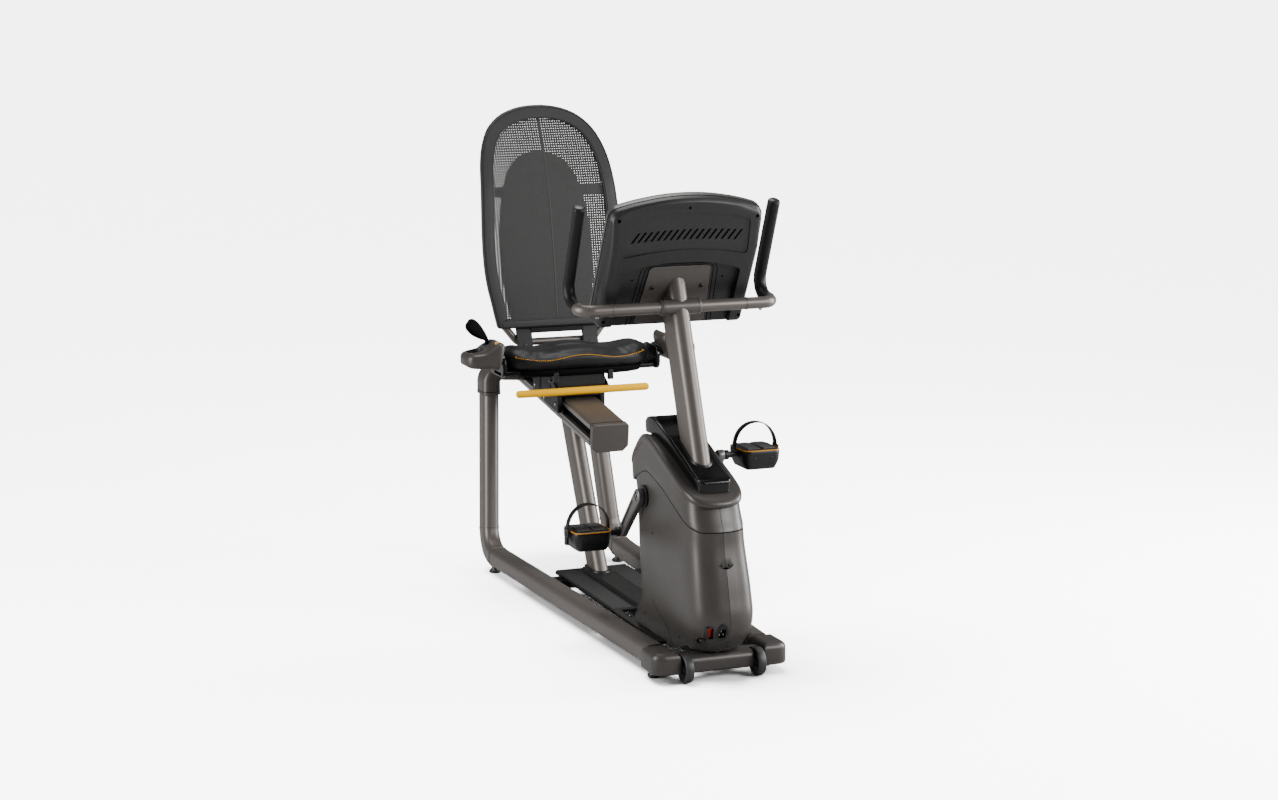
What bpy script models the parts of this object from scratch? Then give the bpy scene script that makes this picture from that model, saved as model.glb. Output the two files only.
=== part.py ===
"""Recumbent exercise bike, in metres, +Z up.

The rider sits facing -Y, so the drive housing is at -Y and the seat at +Y.
The rider's right hand is towards -X. Lengths along Y are first given from the
seat post's side of the housing and are moved by SHIFT_Y, which puts the origin
on the floor under the middle of the bounding box.
"""

import math

import bmesh
import bpy
from mathutils import Vector

# ---------------------------------------------------------------- driving dimensions
SHIFT_Y = -0.153
GAP = 0.0003  # clearance between separate pieces
CRANK_AXIS = Vector((0, -0.240, 0.419))
CRANK_LENGTH = 0.170
CRANK_ANGLE = math.radians(45.7)  # of the left arm, above horizontal towards the front
RAIL_Z = 0.054
RAIL_WIDTH, RAIL_HEIGHT, RAIL_RADIUS = 0.059, 0.056, 0.018
POST_WIDTH, POST_DEPTH, POST_RADIUS = 0.050, 0.076, 0.021
TUBE_WALL = 0.003
SHELL_WALL = 0.003
SLOPE = math.radians(7.7)  # of the seat's monorail, rising to the rear
MONO_FRONT = Vector((0, 0.2310, 0.4455))
MONO_LENGTH = 0.737
MAST_WIDTH, MAST_DEPTH = 0.050, 0.106
MAST_DIR = Vector((0, 0.374, 0.928)).normalized()
MAST_AT = Vector((0, -0.2640, 0.935))
BAR_AT = Vector((0, -0.300, 0.935))
BAR_RADIUS, SLEEVE_RADIUS, GRIP_RADIUS = 0.016, 0.0210, 0.0172
FLYWHEEL_AT = Vector((0, -0.400, 0.215))
PULLEY_RADIUS, SHEAVE_RADIUS = 0.064, 0.022
WHEEL_AT, WHEEL_RADIUS = Vector((0.1010, -0.599, 0.0385)), 0.0375

WARM_GREY = (0.105, 0.092, 0.083)
BLACK = (0.012, 0.012, 0.013)
CHARCOAL = (0.030, 0.030, 0.031)
SIDES = (("right", -1), ("left", 1))

for old in list(bpy.data.objects):
    bpy.data.objects.remove(old, do_unlink=True)


# ---------------------------------------------------------------- helpers
def solid(name, shape, colour=None, rough=0.5, metal=0.0, pivot=(0, 0, 0)):
    """An object from (points, faces). Its origin is the pivot. No colour makes a hidden tool."""
    points, faces = shape
    pivot = Vector(pivot)
    mesh = bpy.data.meshes.new(name)
    mesh.from_pydata([Vector(p) - pivot for p in points], [], faces)
    work = bmesh.new()
    work.from_mesh(mesh)
    bmesh.ops.remove_doubles(work, verts=work.verts, dist=1e-6)
    bmesh.ops.recalc_face_normals(work, faces=work.faces)
    work.to_mesh(mesh)
    work.free()
    item = bpy.data.objects.new(name, mesh)
    item.location = pivot + Vector((0, SHIFT_Y, 0))
    bpy.context.scene.collection.objects.link(item)
    if colour is None:
        item.hide_render = True
        item.display_type = "WIRE"
        return item
    material = bpy.data.materials.new(name)
    material.use_nodes = True
    shader = material.node_tree.nodes["Principled BSDF"]
    shader.inputs["Base Color"].default_value = (*colour, 1)
    shader.inputs["Roughness"].default_value = rough
    shader.inputs["Metallic"].default_value = metal
    mesh.materials.append(material)
    mesh.shade_smooth()
    mesh.set_sharp_from_angle(angle=math.radians(35))
    return item


def boolean(item, operation, *shapes):
    for number, shape in enumerate(shapes):
        tool = solid(f"{item.name}_tool_{len(item.modifiers)}", shape)
        modifier = item.modifiers.new(f"{operation.lower()} {number}", "BOOLEAN")
        modifier.operation = operation
        modifier.solver = "EXACT"
        modifier.object = tool
    return item


def cut(item, *shapes):
    return boolean(item, "DIFFERENCE", *shapes)


def add(item, *shapes):
    return boolean(item, "UNION", *shapes)


def loft(rings, caps=True, wrap=False):
    """Skin over equal-length closed rings. wrap joins the last ring to the first."""
    count = len(rings[0])
    points = [Vector(p) for ring in rings for p in ring]
    faces = []
    for row in range(len(rings) if wrap else len(rings) - 1):
        low, high = row * count, (row + 1) % len(rings) * count
        faces += [
            (low + i, low + (i + 1) % count, high + (i + 1) % count, high + i)
            for i in range(count)
        ]
    if caps and not wrap:
        faces += [tuple(range(count)), tuple(range(len(points) - count, len(points)))]
    return points, faces


def bridged(rings):
    """Skin over rings that are symmetric in X, each cap closed straight across X.

    Point i of a ring mirrors point count - i.
    """
    points, faces = loft(rings, caps=False)
    count = len(rings[0])
    half = count // 2
    for base in (0, len(points) - count):
        for i in range(half):
            quad = (i, i + 1, (count - i - 1) % count, (count - i) % count)
            faces.append(tuple(dict.fromkeys(base + k for k in quad)))
    return points, faces


def thick(outer, inner, wrap=False):
    """A wall between two grids of the same size. wrap closes each row on itself."""
    rows, columns = len(outer), len(outer[0])
    points = [Vector(p) for grid in (outer, inner) for row in grid for p in row]
    inside = rows * columns
    faces = []
    steps = columns if wrap else columns - 1
    for base in (0, inside):
        for r in range(rows - 1):
            for c in range(steps):
                d = (c + 1) % columns
                faces.append(
                    (
                        base + r * columns + c,
                        base + r * columns + d,
                        base + (r + 1) * columns + d,
                        base + (r + 1) * columns + c,
                    )
                )
    for r in (0, rows - 1):
        for c in range(steps):
            a, b = r * columns + c, r * columns + (c + 1) % columns
            faces.append((a, b, inside + b, inside + a))
    if not wrap:
        for c in (0, columns - 1):
            for r in range(rows - 1):
                a, b = r * columns + c, (r + 1) * columns + c
                faces.append((a, b, inside + b, inside + a))
    return points, faces


def hollow(outer, inner):
    """A tube with open ends."""
    return thick(outer, inner, wrap=True)


def fillet(points, radii, steps, closed=False):
    """A polyline with round corners, in two or three dimensions."""
    points = [Vector(p) for p in points]
    last = len(points) - 1
    out = []
    for i, p in enumerate(points):
        radius = radii[i] if isinstance(radii, (list, tuple)) else radii
        if not radius or (not closed and i in (0, last)):
            out.append(p)
            continue
        to_a = (points[i - 1] - p).normalized()
        to_b = (points[(i + 1) % len(points)] - p).normalized()
        half = to_a.angle(to_b) / 2
        centre = p + (to_a + to_b).normalized() * (radius / math.sin(half))
        start = p + to_a * (radius / math.tan(half)) - centre
        end = p + to_b * (radius / math.tan(half)) - centre
        sweep_angle = start.angle(end)
        for k in range(steps + 1):
            t = k / steps
            mixed = start * math.sin((1 - t) * sweep_angle) + end * math.sin(t * sweep_angle)
            out.append(centre + mixed / math.sin(sweep_angle))
    return out


def rounded(width, height, radius, steps=3):
    x, y = width / 2, height / 2
    corners = [Vector(c) for c in ((-x, -y), (x, -y), (x, y), (-x, y))]
    return fillet(corners, radius, steps, closed=True)


def oval(width, depth, steps=6):
    """A flat oval: straight sides with half-round ends along depth."""
    return rounded(width, depth, width * 0.499, steps)


def disc(radius, count=16):
    turns = [2 * math.pi * (i + 0.5) / count for i in range(count)]
    return [Vector((radius * math.cos(a), radius * math.sin(a))) for a in turns]


def blend(a, b, t):
    return [p.lerp(q, t) for p, q in zip(a, b)]


def sweep(path, profiles, side=(1, 0, 0)):
    """Rings of a profile along a path. Its first axis stays near side."""
    side = Vector(side)
    rings = []
    for i, p in enumerate(path):
        along = (path[min(i + 1, len(path) - 1)] - path[max(i - 1, 0)]).normalized()
        u = (side - along * side.dot(along)).normalized()
        v = along.cross(u)
        profile = profiles[i] if isinstance(profiles[0], list) else profiles
        rings.append([p + u * q[0] + v * q[1] for q in profile])
    return rings


def between(profile, at, along, side, low, high):
    """Rings where a straight tube meets two planes, each a (point, normal)."""
    along = Vector(along).normalized()
    side = Vector(side)
    u = (side - along * side.dot(along)).normalized()
    v = along.cross(u)
    rings = []
    for point, normal in (low, high):
        point, normal = Vector(point), Vector(normal)
        ring = []
        for q in profile:
            start = Vector(at) + u * q[0] + v * q[1]
            ring.append(start + along * ((point - start).dot(normal) / along.dot(normal)))
        rings.append(ring)
    return rings


def box(low, high):
    (x0, y0, z0), (x1, y1, z1) = low, high
    ring = ((x0, y0), (x1, y0), (x1, y1), (x0, y1))
    return loft([[(x, y, z) for x, y in ring] for z in (z0, z1)])


def turned(profile, centre, count=16, axis="X"):
    """A solid of revolution from (distance along the axis, radius) pairs."""
    centre = Vector(centre)
    rings = []
    for along, radius in profile:
        ring = []
        for p in disc(radius, count):
            offset = (along, p.x, p.y) if axis == "X" else (p.x, p.y, along)
            ring.append(centre + Vector(offset))
        rings.append(ring)
    return loft(rings)


def annulus(profile, centre, count=16):
    """A ring about X from a closed loop of (distance along X, radius) pairs."""
    centre = Vector(centre)
    rings = []
    for i in range(count):
        a = 2 * math.pi * (i + 0.5) / count
        rings.append(
            [centre + Vector((x, r * math.cos(a), r * math.sin(a))) for x, r in profile]
        )
    return loft(rings, wrap=True)


def extruded(outline, x0, x1):
    """A plate from a (y, z) outline, between two X positions."""
    return loft([[(x, y, z) for y, z in outline] for x in (x0, x1)])


def table(value, knots):
    """Straight-line interpolation over (value, result) knots."""
    if value <= knots[0][0]:
        return knots[0][1]
    for (a, fa), (b, fb) in zip(knots, knots[1:]):
        if value <= b:
            return fa + (fb - fa) * (value - a) / (b - a)
    return knots[-1][1]


def inset(points, distance):
    """A closed 2D loop moved inwards. The loop runs anticlockwise."""
    out = []
    for i, p in enumerate(points):
        before = (p - points[i - 1]).normalized()
        after = (points[(i + 1) % len(points)] - p).normalized()
        normal = Vector((-before.y, before.x)) + Vector((-after.y, after.x))
        normal.normalize()
        out.append(p + normal * distance)
    return out


# ---------------------------------------------------------------- base frame
def rail(sx):
    start = Vector((sx * 0.1465, -0.4997, RAIL_Z))
    corner = Vector((sx * 0.2005, 0.752, RAIL_Z))
    top = Vector((sx * 0.1660, 0.8470, 0.5245))
    bend = fillet([start, corner, top], [0, 0.095, 0], 6)
    weld = start.lerp(corner, 0.88)
    path = [bend[0], weld] + bend[1:]
    flat = rounded(RAIL_WIDTH, RAIL_HEIGHT, RAIL_RADIUS)
    deep = rounded(POST_WIDTH, POST_DEPTH, POST_RADIUS)
    flat_in = rounded(*[s - 2 * TUBE_WALL for s in (RAIL_WIDTH, RAIL_HEIGHT)], 0.015)
    deep_in = rounded(*[s - 2 * TUBE_WALL for s in (POST_WIDTH, POST_DEPTH)], 0.018)
    mixes = [0, 0] + [min(1, k * 0.18) for k in range(len(path) - 3)] + [1]
    outer = sweep(path, [blend(flat, deep, m) for m in mixes])
    inner = sweep(path, [blend(flat_in, deep_in, m) for m in mixes])
    for p in outer[0] + inner[0]:
        p.y = start.y  # square to the cap
    for p in outer[-1] + inner[-1]:
        p.z = top.z
    return hollow(outer, inner)


def front_cap(sx):
    """The moulding that joins a rail to the front crossbar."""
    corners = [Vector(p) for p in ((0.1160, -0.608), (0.1890, -0.608), (0.1865, -0.500),
                                   (0.1160, -0.500))]
    rings = []
    for z, move, round_off in ((0.0255, 0.003, 0.027), (0.030, 0, 0.030), (0.062, 0, 0.030),
                               (0.074, 0.003, 0.027), (0.0825, 0.010, 0.020)):
        outline = fillet(inset(corners, move * 1.41), [0.003, round_off, 0.003, 0.003], 4,
                         closed=True)
        rings.append([(sx * p.x, p.y, z) for p in outline])
    return loft(rings)


for side_name, sx in SIDES:
    solid(f"rail_{side_name}", rail(sx), WARM_GREY, 0.38, 0.6)
    solid(f"front_cap_{side_name}", front_cap(sx), WARM_GREY, 0.45)

bar_profile = fillet(
    [(-0.607, 0.026), (-0.538, 0.026), (-0.538, 0.070), (-0.607, 0.070)],
    [0.006, 0.006, 0.014, 0.016],
    3,
    closed=True,
)
crossbar = solid("front_crossbar", extruded(bar_profile, -0.1157, 0.1157), WARM_GREY, 0.38, 0.6)
for sx in (-1, 1):
    x = sx * WHEEL_AT.x
    cut(crossbar, box((x - 0.0125, -0.70, 0.0), (x + 0.0125, -0.5570, 0.1)))
    pin = turned(((-0.0145, 0.005), (0.0145, 0.005)), (x, WHEEL_AT.y, WHEEL_AT.z), 10)
    add(crossbar, pin)

for side_name, sx in SIDES:
    wheel = (
        (-0.011, 0.0056),
        (-0.011, 0.031),
        (-0.0085, 0.0360),
        (-0.004, WHEEL_RADIUS),
        (0.004, WHEEL_RADIUS),
        (0.0085, 0.0360),
        (0.011, 0.031),
        (0.011, 0.0056),
    )
    centre = (sx * WHEEL_AT.x, WHEEL_AT.y, WHEEL_AT.z)
    solid(f"transport_wheel_{side_name}", annulus(wheel, centre, 24), CHARCOAL, 0.7, 0, centre)

# Levelling feet: front pair under the caps, rear pair under the bends.
for place, x, y, top in (("front", 0.155, -0.515, 0.0252), ("rear", 0.1985, 0.700, 0.0255)):
    for side_name, sx in SIDES:
        foot = turned(
            ((0, 0.017), (0.004, 0.0185), (0.008, 0.0175), (0.011, 0.009), (top, 0.009)),
            (sx * x, y, 0),
            16,
            "Z",
        )
        solid(f"foot_{place}_{side_name}", foot, BLACK, 0.7, 0, (sx * x, y, 0))

# Chassis: a beam under the cover, a cross beam between the rails, and inside the
# housing a crank column, a mast column, and a tie between them with the flywheel pin.
chassis = solid("chassis", box((-0.026, -0.5377, 0.027), (0.026, -0.090, 0.0432)), BLACK, 0.5, 0.5)
add(
    chassis,
    box((-0.0255, -0.098, 0.030), (0.0255, 0.400, 0.0575)),
    box((-0.1500, 0.315, 0.032), (0.1500, 0.375, 0.0555)),
    box((-0.024, -0.262, 0.040), (-0.0115, -0.218, 0.402)),
    box((-0.0245, -0.534, 0.040), (0.014, -0.470, 0.3595)),
    box((-0.0225, -0.480, 0.196), (-0.006, -0.250, 0.234)),
    turned(((-0.060, 0.027), (-0.008, 0.027)), CRANK_AXIS, 20),
    turned(((-0.010, 0.0065), (0.068, 0.0065)), FLYWHEEL_AT, 12),
)
cut(chassis, turned(((-0.07, 0.0107), (0.0, 0.0107)), CRANK_AXIS, 20))

# Step-through cover, with a strip along each side of the housing.
cover = solid("step_cover", box((-0.112, -0.086, 0.0580), (0.112, 0.396, 0.0680)), BLACK, 0.45)
spine = [[(x, y, z) for x, y in ((-half, -0.0840), (half, -0.0840), (half, rear), (-half, rear))]
         for half, rear, z in ((0.040, 0.385, 0.0610), (0.033, 0.379, 0.0770))]
add(
    cover,
    loft(spine),
    box((-0.1115, -0.430, 0.0590), (-0.0870, -0.070, 0.0665)),
    box((0.0870, -0.430, 0.0590), (0.1115, -0.070, 0.0665)),
)

POST_LOW = Vector((0, 0.3275, 0.0580))
POST_ALONG = Vector((0, 0.192, 0.346))
MONO_ALONG = Vector((0, math.cos(SLOPE), math.sin(SLOPE)))
MONO_UP = Vector((0, -math.sin(SLOPE), math.cos(SLOPE)))
post = between(
    oval(0.044, 0.088, 5),
    POST_LOW,
    POST_ALONG,
    (1, 0, 0),
    ((0, 0, 0.0580), (0, 0, 1)),
    (MONO_FRONT - MONO_UP * GAP, MONO_UP),
)
solid("centre_post", loft(post), WARM_GREY, 0.38, 0.6)
hole = between(
    oval(0.0446, 0.0886, 5), POST_LOW, POST_ALONG, (1, 0, 0),
    ((0, 0, 0.04), (0, 0, 1)), ((0, 0, 0.1), (0, 0, 1)),
)
cut(cover, loft(hole))


# ---------------------------------------------------------------- seat monorail
def on_rail(x, along, up):
    return MONO_FRONT + MONO_ALONG * along + MONO_UP * up + Vector((x, 0, 0))


def rail_slice(half, along):
    ring = [on_rail(x, along, up) for x, up in half]
    return ring + [on_rail(-x, along, up) for x, up in reversed(half)]


MONO_HALF = (
    (0.040, 0.0), (0.054, 0.016), (0.054, 0.034), (0.0425, 0.034),
    (0.0425, 0.062), (0.054, 0.062), (0.054, 0.075), (0.050, 0.079), (0.020, 0.0805),
)
CAP_HALF = ((0.040, -0.001), (0.0555, 0.015), (0.0555, 0.0755), (0.051, 0.080), (0.020, 0.082))
monorail = solid(
    "monorail",
    loft([rail_slice(MONO_HALF, 0.0223), rail_slice(MONO_HALF, MONO_LENGTH - 0.018)]),
    (0.35, 0.34, 0.33), 0.35, 0.8,
)
cavity = ((0.034, 0.008), (0.036, 0.028), (0.036, 0.068), (0.030, 0.073))
cut(monorail, loft([rail_slice(cavity, 0.0), rail_slice(cavity, MONO_LENGTH)]))
for place, low, high in (
    ("front", -0.0, 0.0220), ("rear", MONO_LENGTH - 0.0177, MONO_LENGTH + 0.003)
):
    trimmed = [(x - 0.003, up * 0.94 + 0.0025) for x, up in CAP_HALF]
    rings = [rail_slice(CAP_HALF, low), rail_slice(CAP_HALF, high)]
    if place == "front":
        rings = [rail_slice(trimmed, low), rail_slice(CAP_HALF, low + 0.003), rings[1]]
    else:
        rings = [rings[0], rail_slice(CAP_HALF, high - 0.003), rail_slice(trimmed, high)]
    solid(f"monorail_cap_{place}", loft(rings), WARM_GREY, 0.5)


def upright_collar(sx):
    """From the top of an upright, curving inwards to the monorail's side."""
    foot = Vector((sx * 0.1660, 0.8472, 0.5250))
    corner = Vector((sx * 0.1625, 0.8600, 0.5930))
    end = Vector((sx * 0.0560, 0.8780, 0.5830))
    path = fillet([foot, corner, end], [0, 0.036, 0], 5)
    upright = rounded(0.084, 0.058, 0.020, 2)
    flat = rounded(0.088, 0.050, 0.014, 2)
    mixes = [min(1, k / 5) for k in range(len(path))]
    rings = sweep(path, [blend(upright, flat, m) for m in mixes], (0, 1, 0))
    for p in rings[-1]:
        p.x = sx * 0.0545  # square to the monorail
    for p in rings[0]:
        p.z = foot.z
    return loft(rings)


for side_name, sx in SIDES:
    solid(f"upright_collar_{side_name}", upright_collar(sx), WARM_GREY, 0.5)

# ---------------------------------------------------------------- drive housing
SEAM = ((-0.66, 0.392), (-0.606, 0.390), (-0.585, 0.392), (-0.534, 0.407), (-0.455, 0.436),
        (-0.379, 0.462), (-0.300, 0.482), (-0.230, 0.490), (-0.200, 0.486), (-0.170, 0.455),
        (-0.150, 0.440))
LIP = ((-0.600, 0.464), (-0.585, 0.468), (-0.553, 0.483), (-0.460, 0.515), (-0.324, 0.566),
       (-0.260, 0.585), (-0.220, 0.583), (-0.190, 0.570), (-0.161, 0.541), (-0.135, 0.505),
       (-0.124, 0.475))
FOOTLINE = ((-0.503, 0.0720), (-0.430, 0.0440))


def plan_half(front, rear, wide_front, wide_rear):
    """Half of the housing's plan outline, from its front to its rear centre."""
    mid = -0.47
    points = [
        (0.0, front),
        (0.42 * wide_front, front + 0.004),
        (0.74 * wide_front, front + 0.018),
        (0.93 * wide_front, front + 0.046),
        (wide_front, front + 0.090),
    ]
    start, stop = front + 0.090, rear - 0.026
    for k in (1, 2, 3, 4, 5):
        y = start + (stop - start) * k / 5
        t = max(0.0, (y - mid) / (stop - mid))
        points.append((wide_front + (wide_rear - wide_front) * t, y))
    points += [(wide_rear * 0.93, rear - 0.009), (wide_rear * 0.78, rear), (0.0, rear)]
    return points


# height, front, rear, half-width near the front, half-width at the rear
LOWER = (
    (0.0440, -0.592, -0.104, 0.064, 0.064),
    (0.0760, -0.612, -0.140, 0.071, 0.068),
    (0.1310, -0.649, -0.186, 0.083, 0.0700),
    (0.1730, -0.658, -0.185, 0.087, 0.0705),
    (0.2230, -0.647, -0.179, 0.087, 0.0710),
    (0.2730, -0.634, -0.172, 0.085, 0.0720),
    (0.3450, -0.613, -0.164, 0.081, 0.0730),
    (0.3900, -0.606, -0.150, 0.079, 0.0735),
)


def shell_rows(move):
    rows = []
    for row, (z, front, rear, wide_front, wide_rear) in enumerate(LOWER):
        ring = []
        moved = plan_half(front + move, rear - move, wide_front - move, wide_rear - move)
        for (_, y), (x, moved_y) in zip(plan_half(front, rear, wide_front, wide_rear), moved):
            if row == 0:
                height = table(y, FOOTLINE)
            elif row == 1:
                height = max(z, table(y, FOOTLINE) + 0.012)
            elif row == len(LOWER) - 1:
                height = table(y, SEAM) - GAP
            elif row == len(LOWER) - 2:
                height = z + (table(y, SEAM) - 0.39) * 0.6
            else:
                height = z
            ring.append((max(x, GAP / 2), moved_y, height))
        rows.append(ring)
    return rows


outer_rows, inner_rows = shell_rows(0.0), shell_rows(SHELL_WALL)
for side_name, sx in SIDES:
    shape = thick(
        [[(sx * x, y, z) for x, y, z in row] for row in outer_rows],
        [[(sx * x, y, z) for x, y, z in row] for row in inner_rows],
    )
    shell = solid(f"shell_{side_name}", shape, WARM_GREY, 0.5)
    cut(shell, turned(((sx * 0.05, 0.0225), (sx * 0.10, 0.0225)), CRANK_AXIS, 20))
    if sx < 0:
        # recesses for the power inlet, the rocker switch and the reset button
        cut(
            shell,
            box((-0.0345, -0.70, 0.1190), (-0.0075, -0.57, 0.1530)),
            box((-0.0610, -0.70, 0.1250), (-0.0450, -0.57, 0.1530)),
            box((-0.0712, -0.70, 0.1060), (-0.0556, -0.57, 0.1216)),
        )


def full(half):
    return [Vector(p) for p in half] + [Vector((-x, y, z)) for x, y, z in reversed(half[1:-1])]


def shroud_rows(move):
    """From the seam up to the lip, then in over the top to the mast opening."""
    rows = []
    stages = ((0.0, -0.606, -0.150, 0.0790, 0.0735), (0.04, -0.605, -0.131, 0.0790, 0.0745),
              (0.35, -0.592, -0.126, 0.0775, 0.0745),
              (0.80, -0.579, -0.124, 0.0765, 0.0745), (0.83, -0.590, -0.123, 0.0810, 0.0760),
              (1.0, -0.588, -0.124, 0.0800, 0.0740))
    for t, front, rear, wide_front, wide_rear in stages:
        ring = []
        moved = plan_half(front + move, rear - move, wide_front - move, wide_rear - move)
        for (_, y), (x, moved_y) in zip(plan_half(front, rear, wide_front, wide_rear), moved):
            low, high = table(y, SEAM) + GAP, table(y, LIP) - (move if t == 1.0 else 0)
            ring.append((x, moved_y, low + (high - low) * t))
        rows.append(full(ring))
    for scale, front, rear in ((0.80, -0.575, -0.160), (0.45, -0.500, -0.300)):
        ring = []
        for x, y in plan_half(front, rear, 0.078, 0.073):
            ring.append((x * scale, y, table(y, LIP) + 0.004 - move))
        rows.append(full(ring))
    return rows


solid("top_shroud", thick(shroud_rows(0.0), shroud_rows(SHELL_WALL), wrap=True), WARM_GREY, 0.5)

# Boot: a black collar round the mast with a raised tray behind it.
BOOT = (  # y, bottom, top, half-width
    (-0.552, 0.4915, 0.5100, 0.034), (-0.546, 0.4930, 0.5170, 0.041), (-0.530, 0.4975, 0.5235, 0.046),
    (-0.490, 0.5105, 0.5360, 0.049), (-0.385, 0.5490, 0.5795, 0.051), (-0.290, 0.5825, 0.6200, 0.055),
    (-0.268, 0.6010, 0.6300, 0.058), (-0.235, 0.6060, 0.6350, 0.060), (-0.200, 0.6000, 0.6100, 0.060),
)
boot_rings = []
for y, low, high, half in BOOT:
    edge = min(0.006, (high - low) * 0.35)
    boot_rings.append(
        [(-half, y, low), (half, y, low), (half, y, high - edge), (half - edge, y, high),
         (-half + edge, y, high), (-half, y, high - edge)]
    )
boot = solid("mast_boot", loft(boot_rings), BLACK, 0.2)

# ---------------------------------------------------------------- mast and console
CONSOLE_UP = Vector((0, -0.473, 0.881)).normalized()
CONSOLE_OUT = Vector((0, -0.881, -0.473)).normalized()  # away from the rider
CONSOLE_LOW = Vector((0, -0.186, 0.891))


def on_console(x, up, out):
    return CONSOLE_LOW + Vector((x, 0, 0)) + CONSOLE_UP * up + CONSOLE_OUT * out


PLATE_OUT = 0.0350
mast_top = (on_console(0, 0, PLATE_OUT - 0.002), CONSOLE_OUT)
mast = solid(
    "mast",
    loft(between(oval(MAST_WIDTH, MAST_DEPTH), MAST_AT, MAST_DIR, (1, 0, 0),
                 ((0, 0, 0.3600), (0, 0, 1)), mast_top)),
    WARM_GREY, 0.38, 0.6,
)
cut(mast, turned(((-0.06, SLEEVE_RADIUS + 0.0006), (0.06, SLEEVE_RADIUS + 0.0006)), BAR_AT, 24))
socket = between(oval(MAST_WIDTH + 0.0016, MAST_DEPTH + 0.0016), MAST_AT, MAST_DIR, (1, 0, 0),
                 ((0, 0, 0.42), (0, 0, 1)), ((0, 0, 0.68), (0, 0, 1)))
cut(boot, loft(socket))

bend_path = [(-0.274, -0.2590), (-0.274, -0.300), (0.274, -0.300), (0.274, -0.2590)]
points = fillet([(x, y, BAR_AT.z + (0.003 if y > -0.29 else 0)) for x, y in bend_path],
                [0, 0.0365, 0.0365, 0], 5)
half = len(points) // 2
path = points[:half] + [Vector((x, -0.300, 0.935)) for x in (-0.0565, -0.0555, 0.0555, 0.0565)]
path += points[half:]
radii = [BAR_RADIUS] * half + [BAR_RADIUS, SLEEVE_RADIUS, SLEEVE_RADIUS, BAR_RADIUS]
radii += [BAR_RADIUS] * half
rings = sweep(path, [disc(r, 14) for r in radii], (0, 0, 1))
for p in rings[0] + rings[-1]:
    p.y = -0.2590  # square to the grips
solid("handlebar", loft(rings), WARM_GREY, 0.38, 0.6)

for side_name, sx in SIDES:
    knots = [(0.274, -0.2585, 0.938), (0.274, -0.1800, 0.952), (0.275, -0.2870, 1.2070)]
    path = fillet([(sx * x, y, z) for x, y, z in knots], [0, 0.045, 0], 6)
    tip = path[-1]
    path[-1:] = [tip - (tip - path[-2]).normalized() * 0.004, tip]
    sizes = [GRIP_RADIUS] * (len(path) - 1) + [GRIP_RADIUS - 0.004]
    rings = sweep(path, [disc(r, 14) for r in sizes], (1, 0, 0))
    for p in rings[0]:
        p.y = -0.2585
    solid(f"handle_grip_{side_name}", loft(rings), BLACK, 0.55)


def console_ring(shrink, out, steps=4):
    """Symmetric outline from the bottom centre, round the +X side, to the arched top."""
    right = fillet(
        [(0.0, shrink - 0.0010), (0.212 - shrink, shrink), (0.214 - shrink, 0.347 - shrink),
         (0.10, 0.380 - shrink), (0.0, 0.387 - shrink)],
        [0, 0.016, 0.040, 0.10, 0], steps)
    ring = []
    for p in right:
        level = out(p.y) if callable(out) else out
        ring.append(on_console(p.x, p.y, level))
    return ring + [Vector((-p.x, p.y, p.z)) for p in reversed(ring[1:-1])]


def proud(up):
    return table(up, ((0.0, 0.046), (0.250, 0.046), (0.360, 0.016)))


back = solid(
    "console_back",
    bridged([console_ring(0.0, -0.0100), console_ring(0.0, 0.006), console_ring(0.004, 0.010),
             console_ring(0.020, proud)]),
    CHARCOAL, 0.5,
)
recess = [on_console(x, up, out) for out in (0.0300, 0.09)
          for x, up in ((-0.158, -0.05), (0.158, -0.05), (0.150, 0.190), (0.0, 0.214), (-0.150, 0.190))]
cut(back, loft([recess[:5], recess[5:]]))
solid(
    "console_front",
    bridged([console_ring(0.010, -0.034), console_ring(0.003, -0.030), console_ring(0.0, -0.0103)]),
    BLACK, 0.15,
)
plate_outline = fillet([(-0.100, 0.012), (0.100, 0.012), (0.086, 0.192), (-0.086, 0.192)],
                       [0.004, 0.004, 0.012, 0.012], 2, closed=True)
add(mast, loft([[on_console(p.x, p.y, out) for p in plate_outline] for out in (0.0303, PLATE_OUT)]))

# ---------------------------------------------------------------- controls on the housing
solid("power_inlet", box((-0.0340, -0.6500, 0.1195), (-0.0080, -0.6150, 0.1525)), BLACK, 0.4)
cut(bpy.data.objects["power_inlet"], box((-0.0300, -0.70, 0.1240), (-0.0120, -0.6320, 0.1480)))
rocker = extruded([(-0.6385, 0.1275), (-0.6200, 0.1275), (-0.6200, 0.1505), (-0.6425, 0.1505),
                   (-0.6365, 0.1390)], -0.0595, -0.0465)
solid("power_switch", rocker, (0.75, 0.03, 0.03), 0.35, 0, (-0.053, -0.628, 0.1390))
button = box((-0.0700, -0.6235, 0.1072), (-0.0568, -0.6020, 0.1204))
solid("reset_button", button, BLACK, 0.4, 0, (-0.0634, -0.612, 0.1138))

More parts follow.
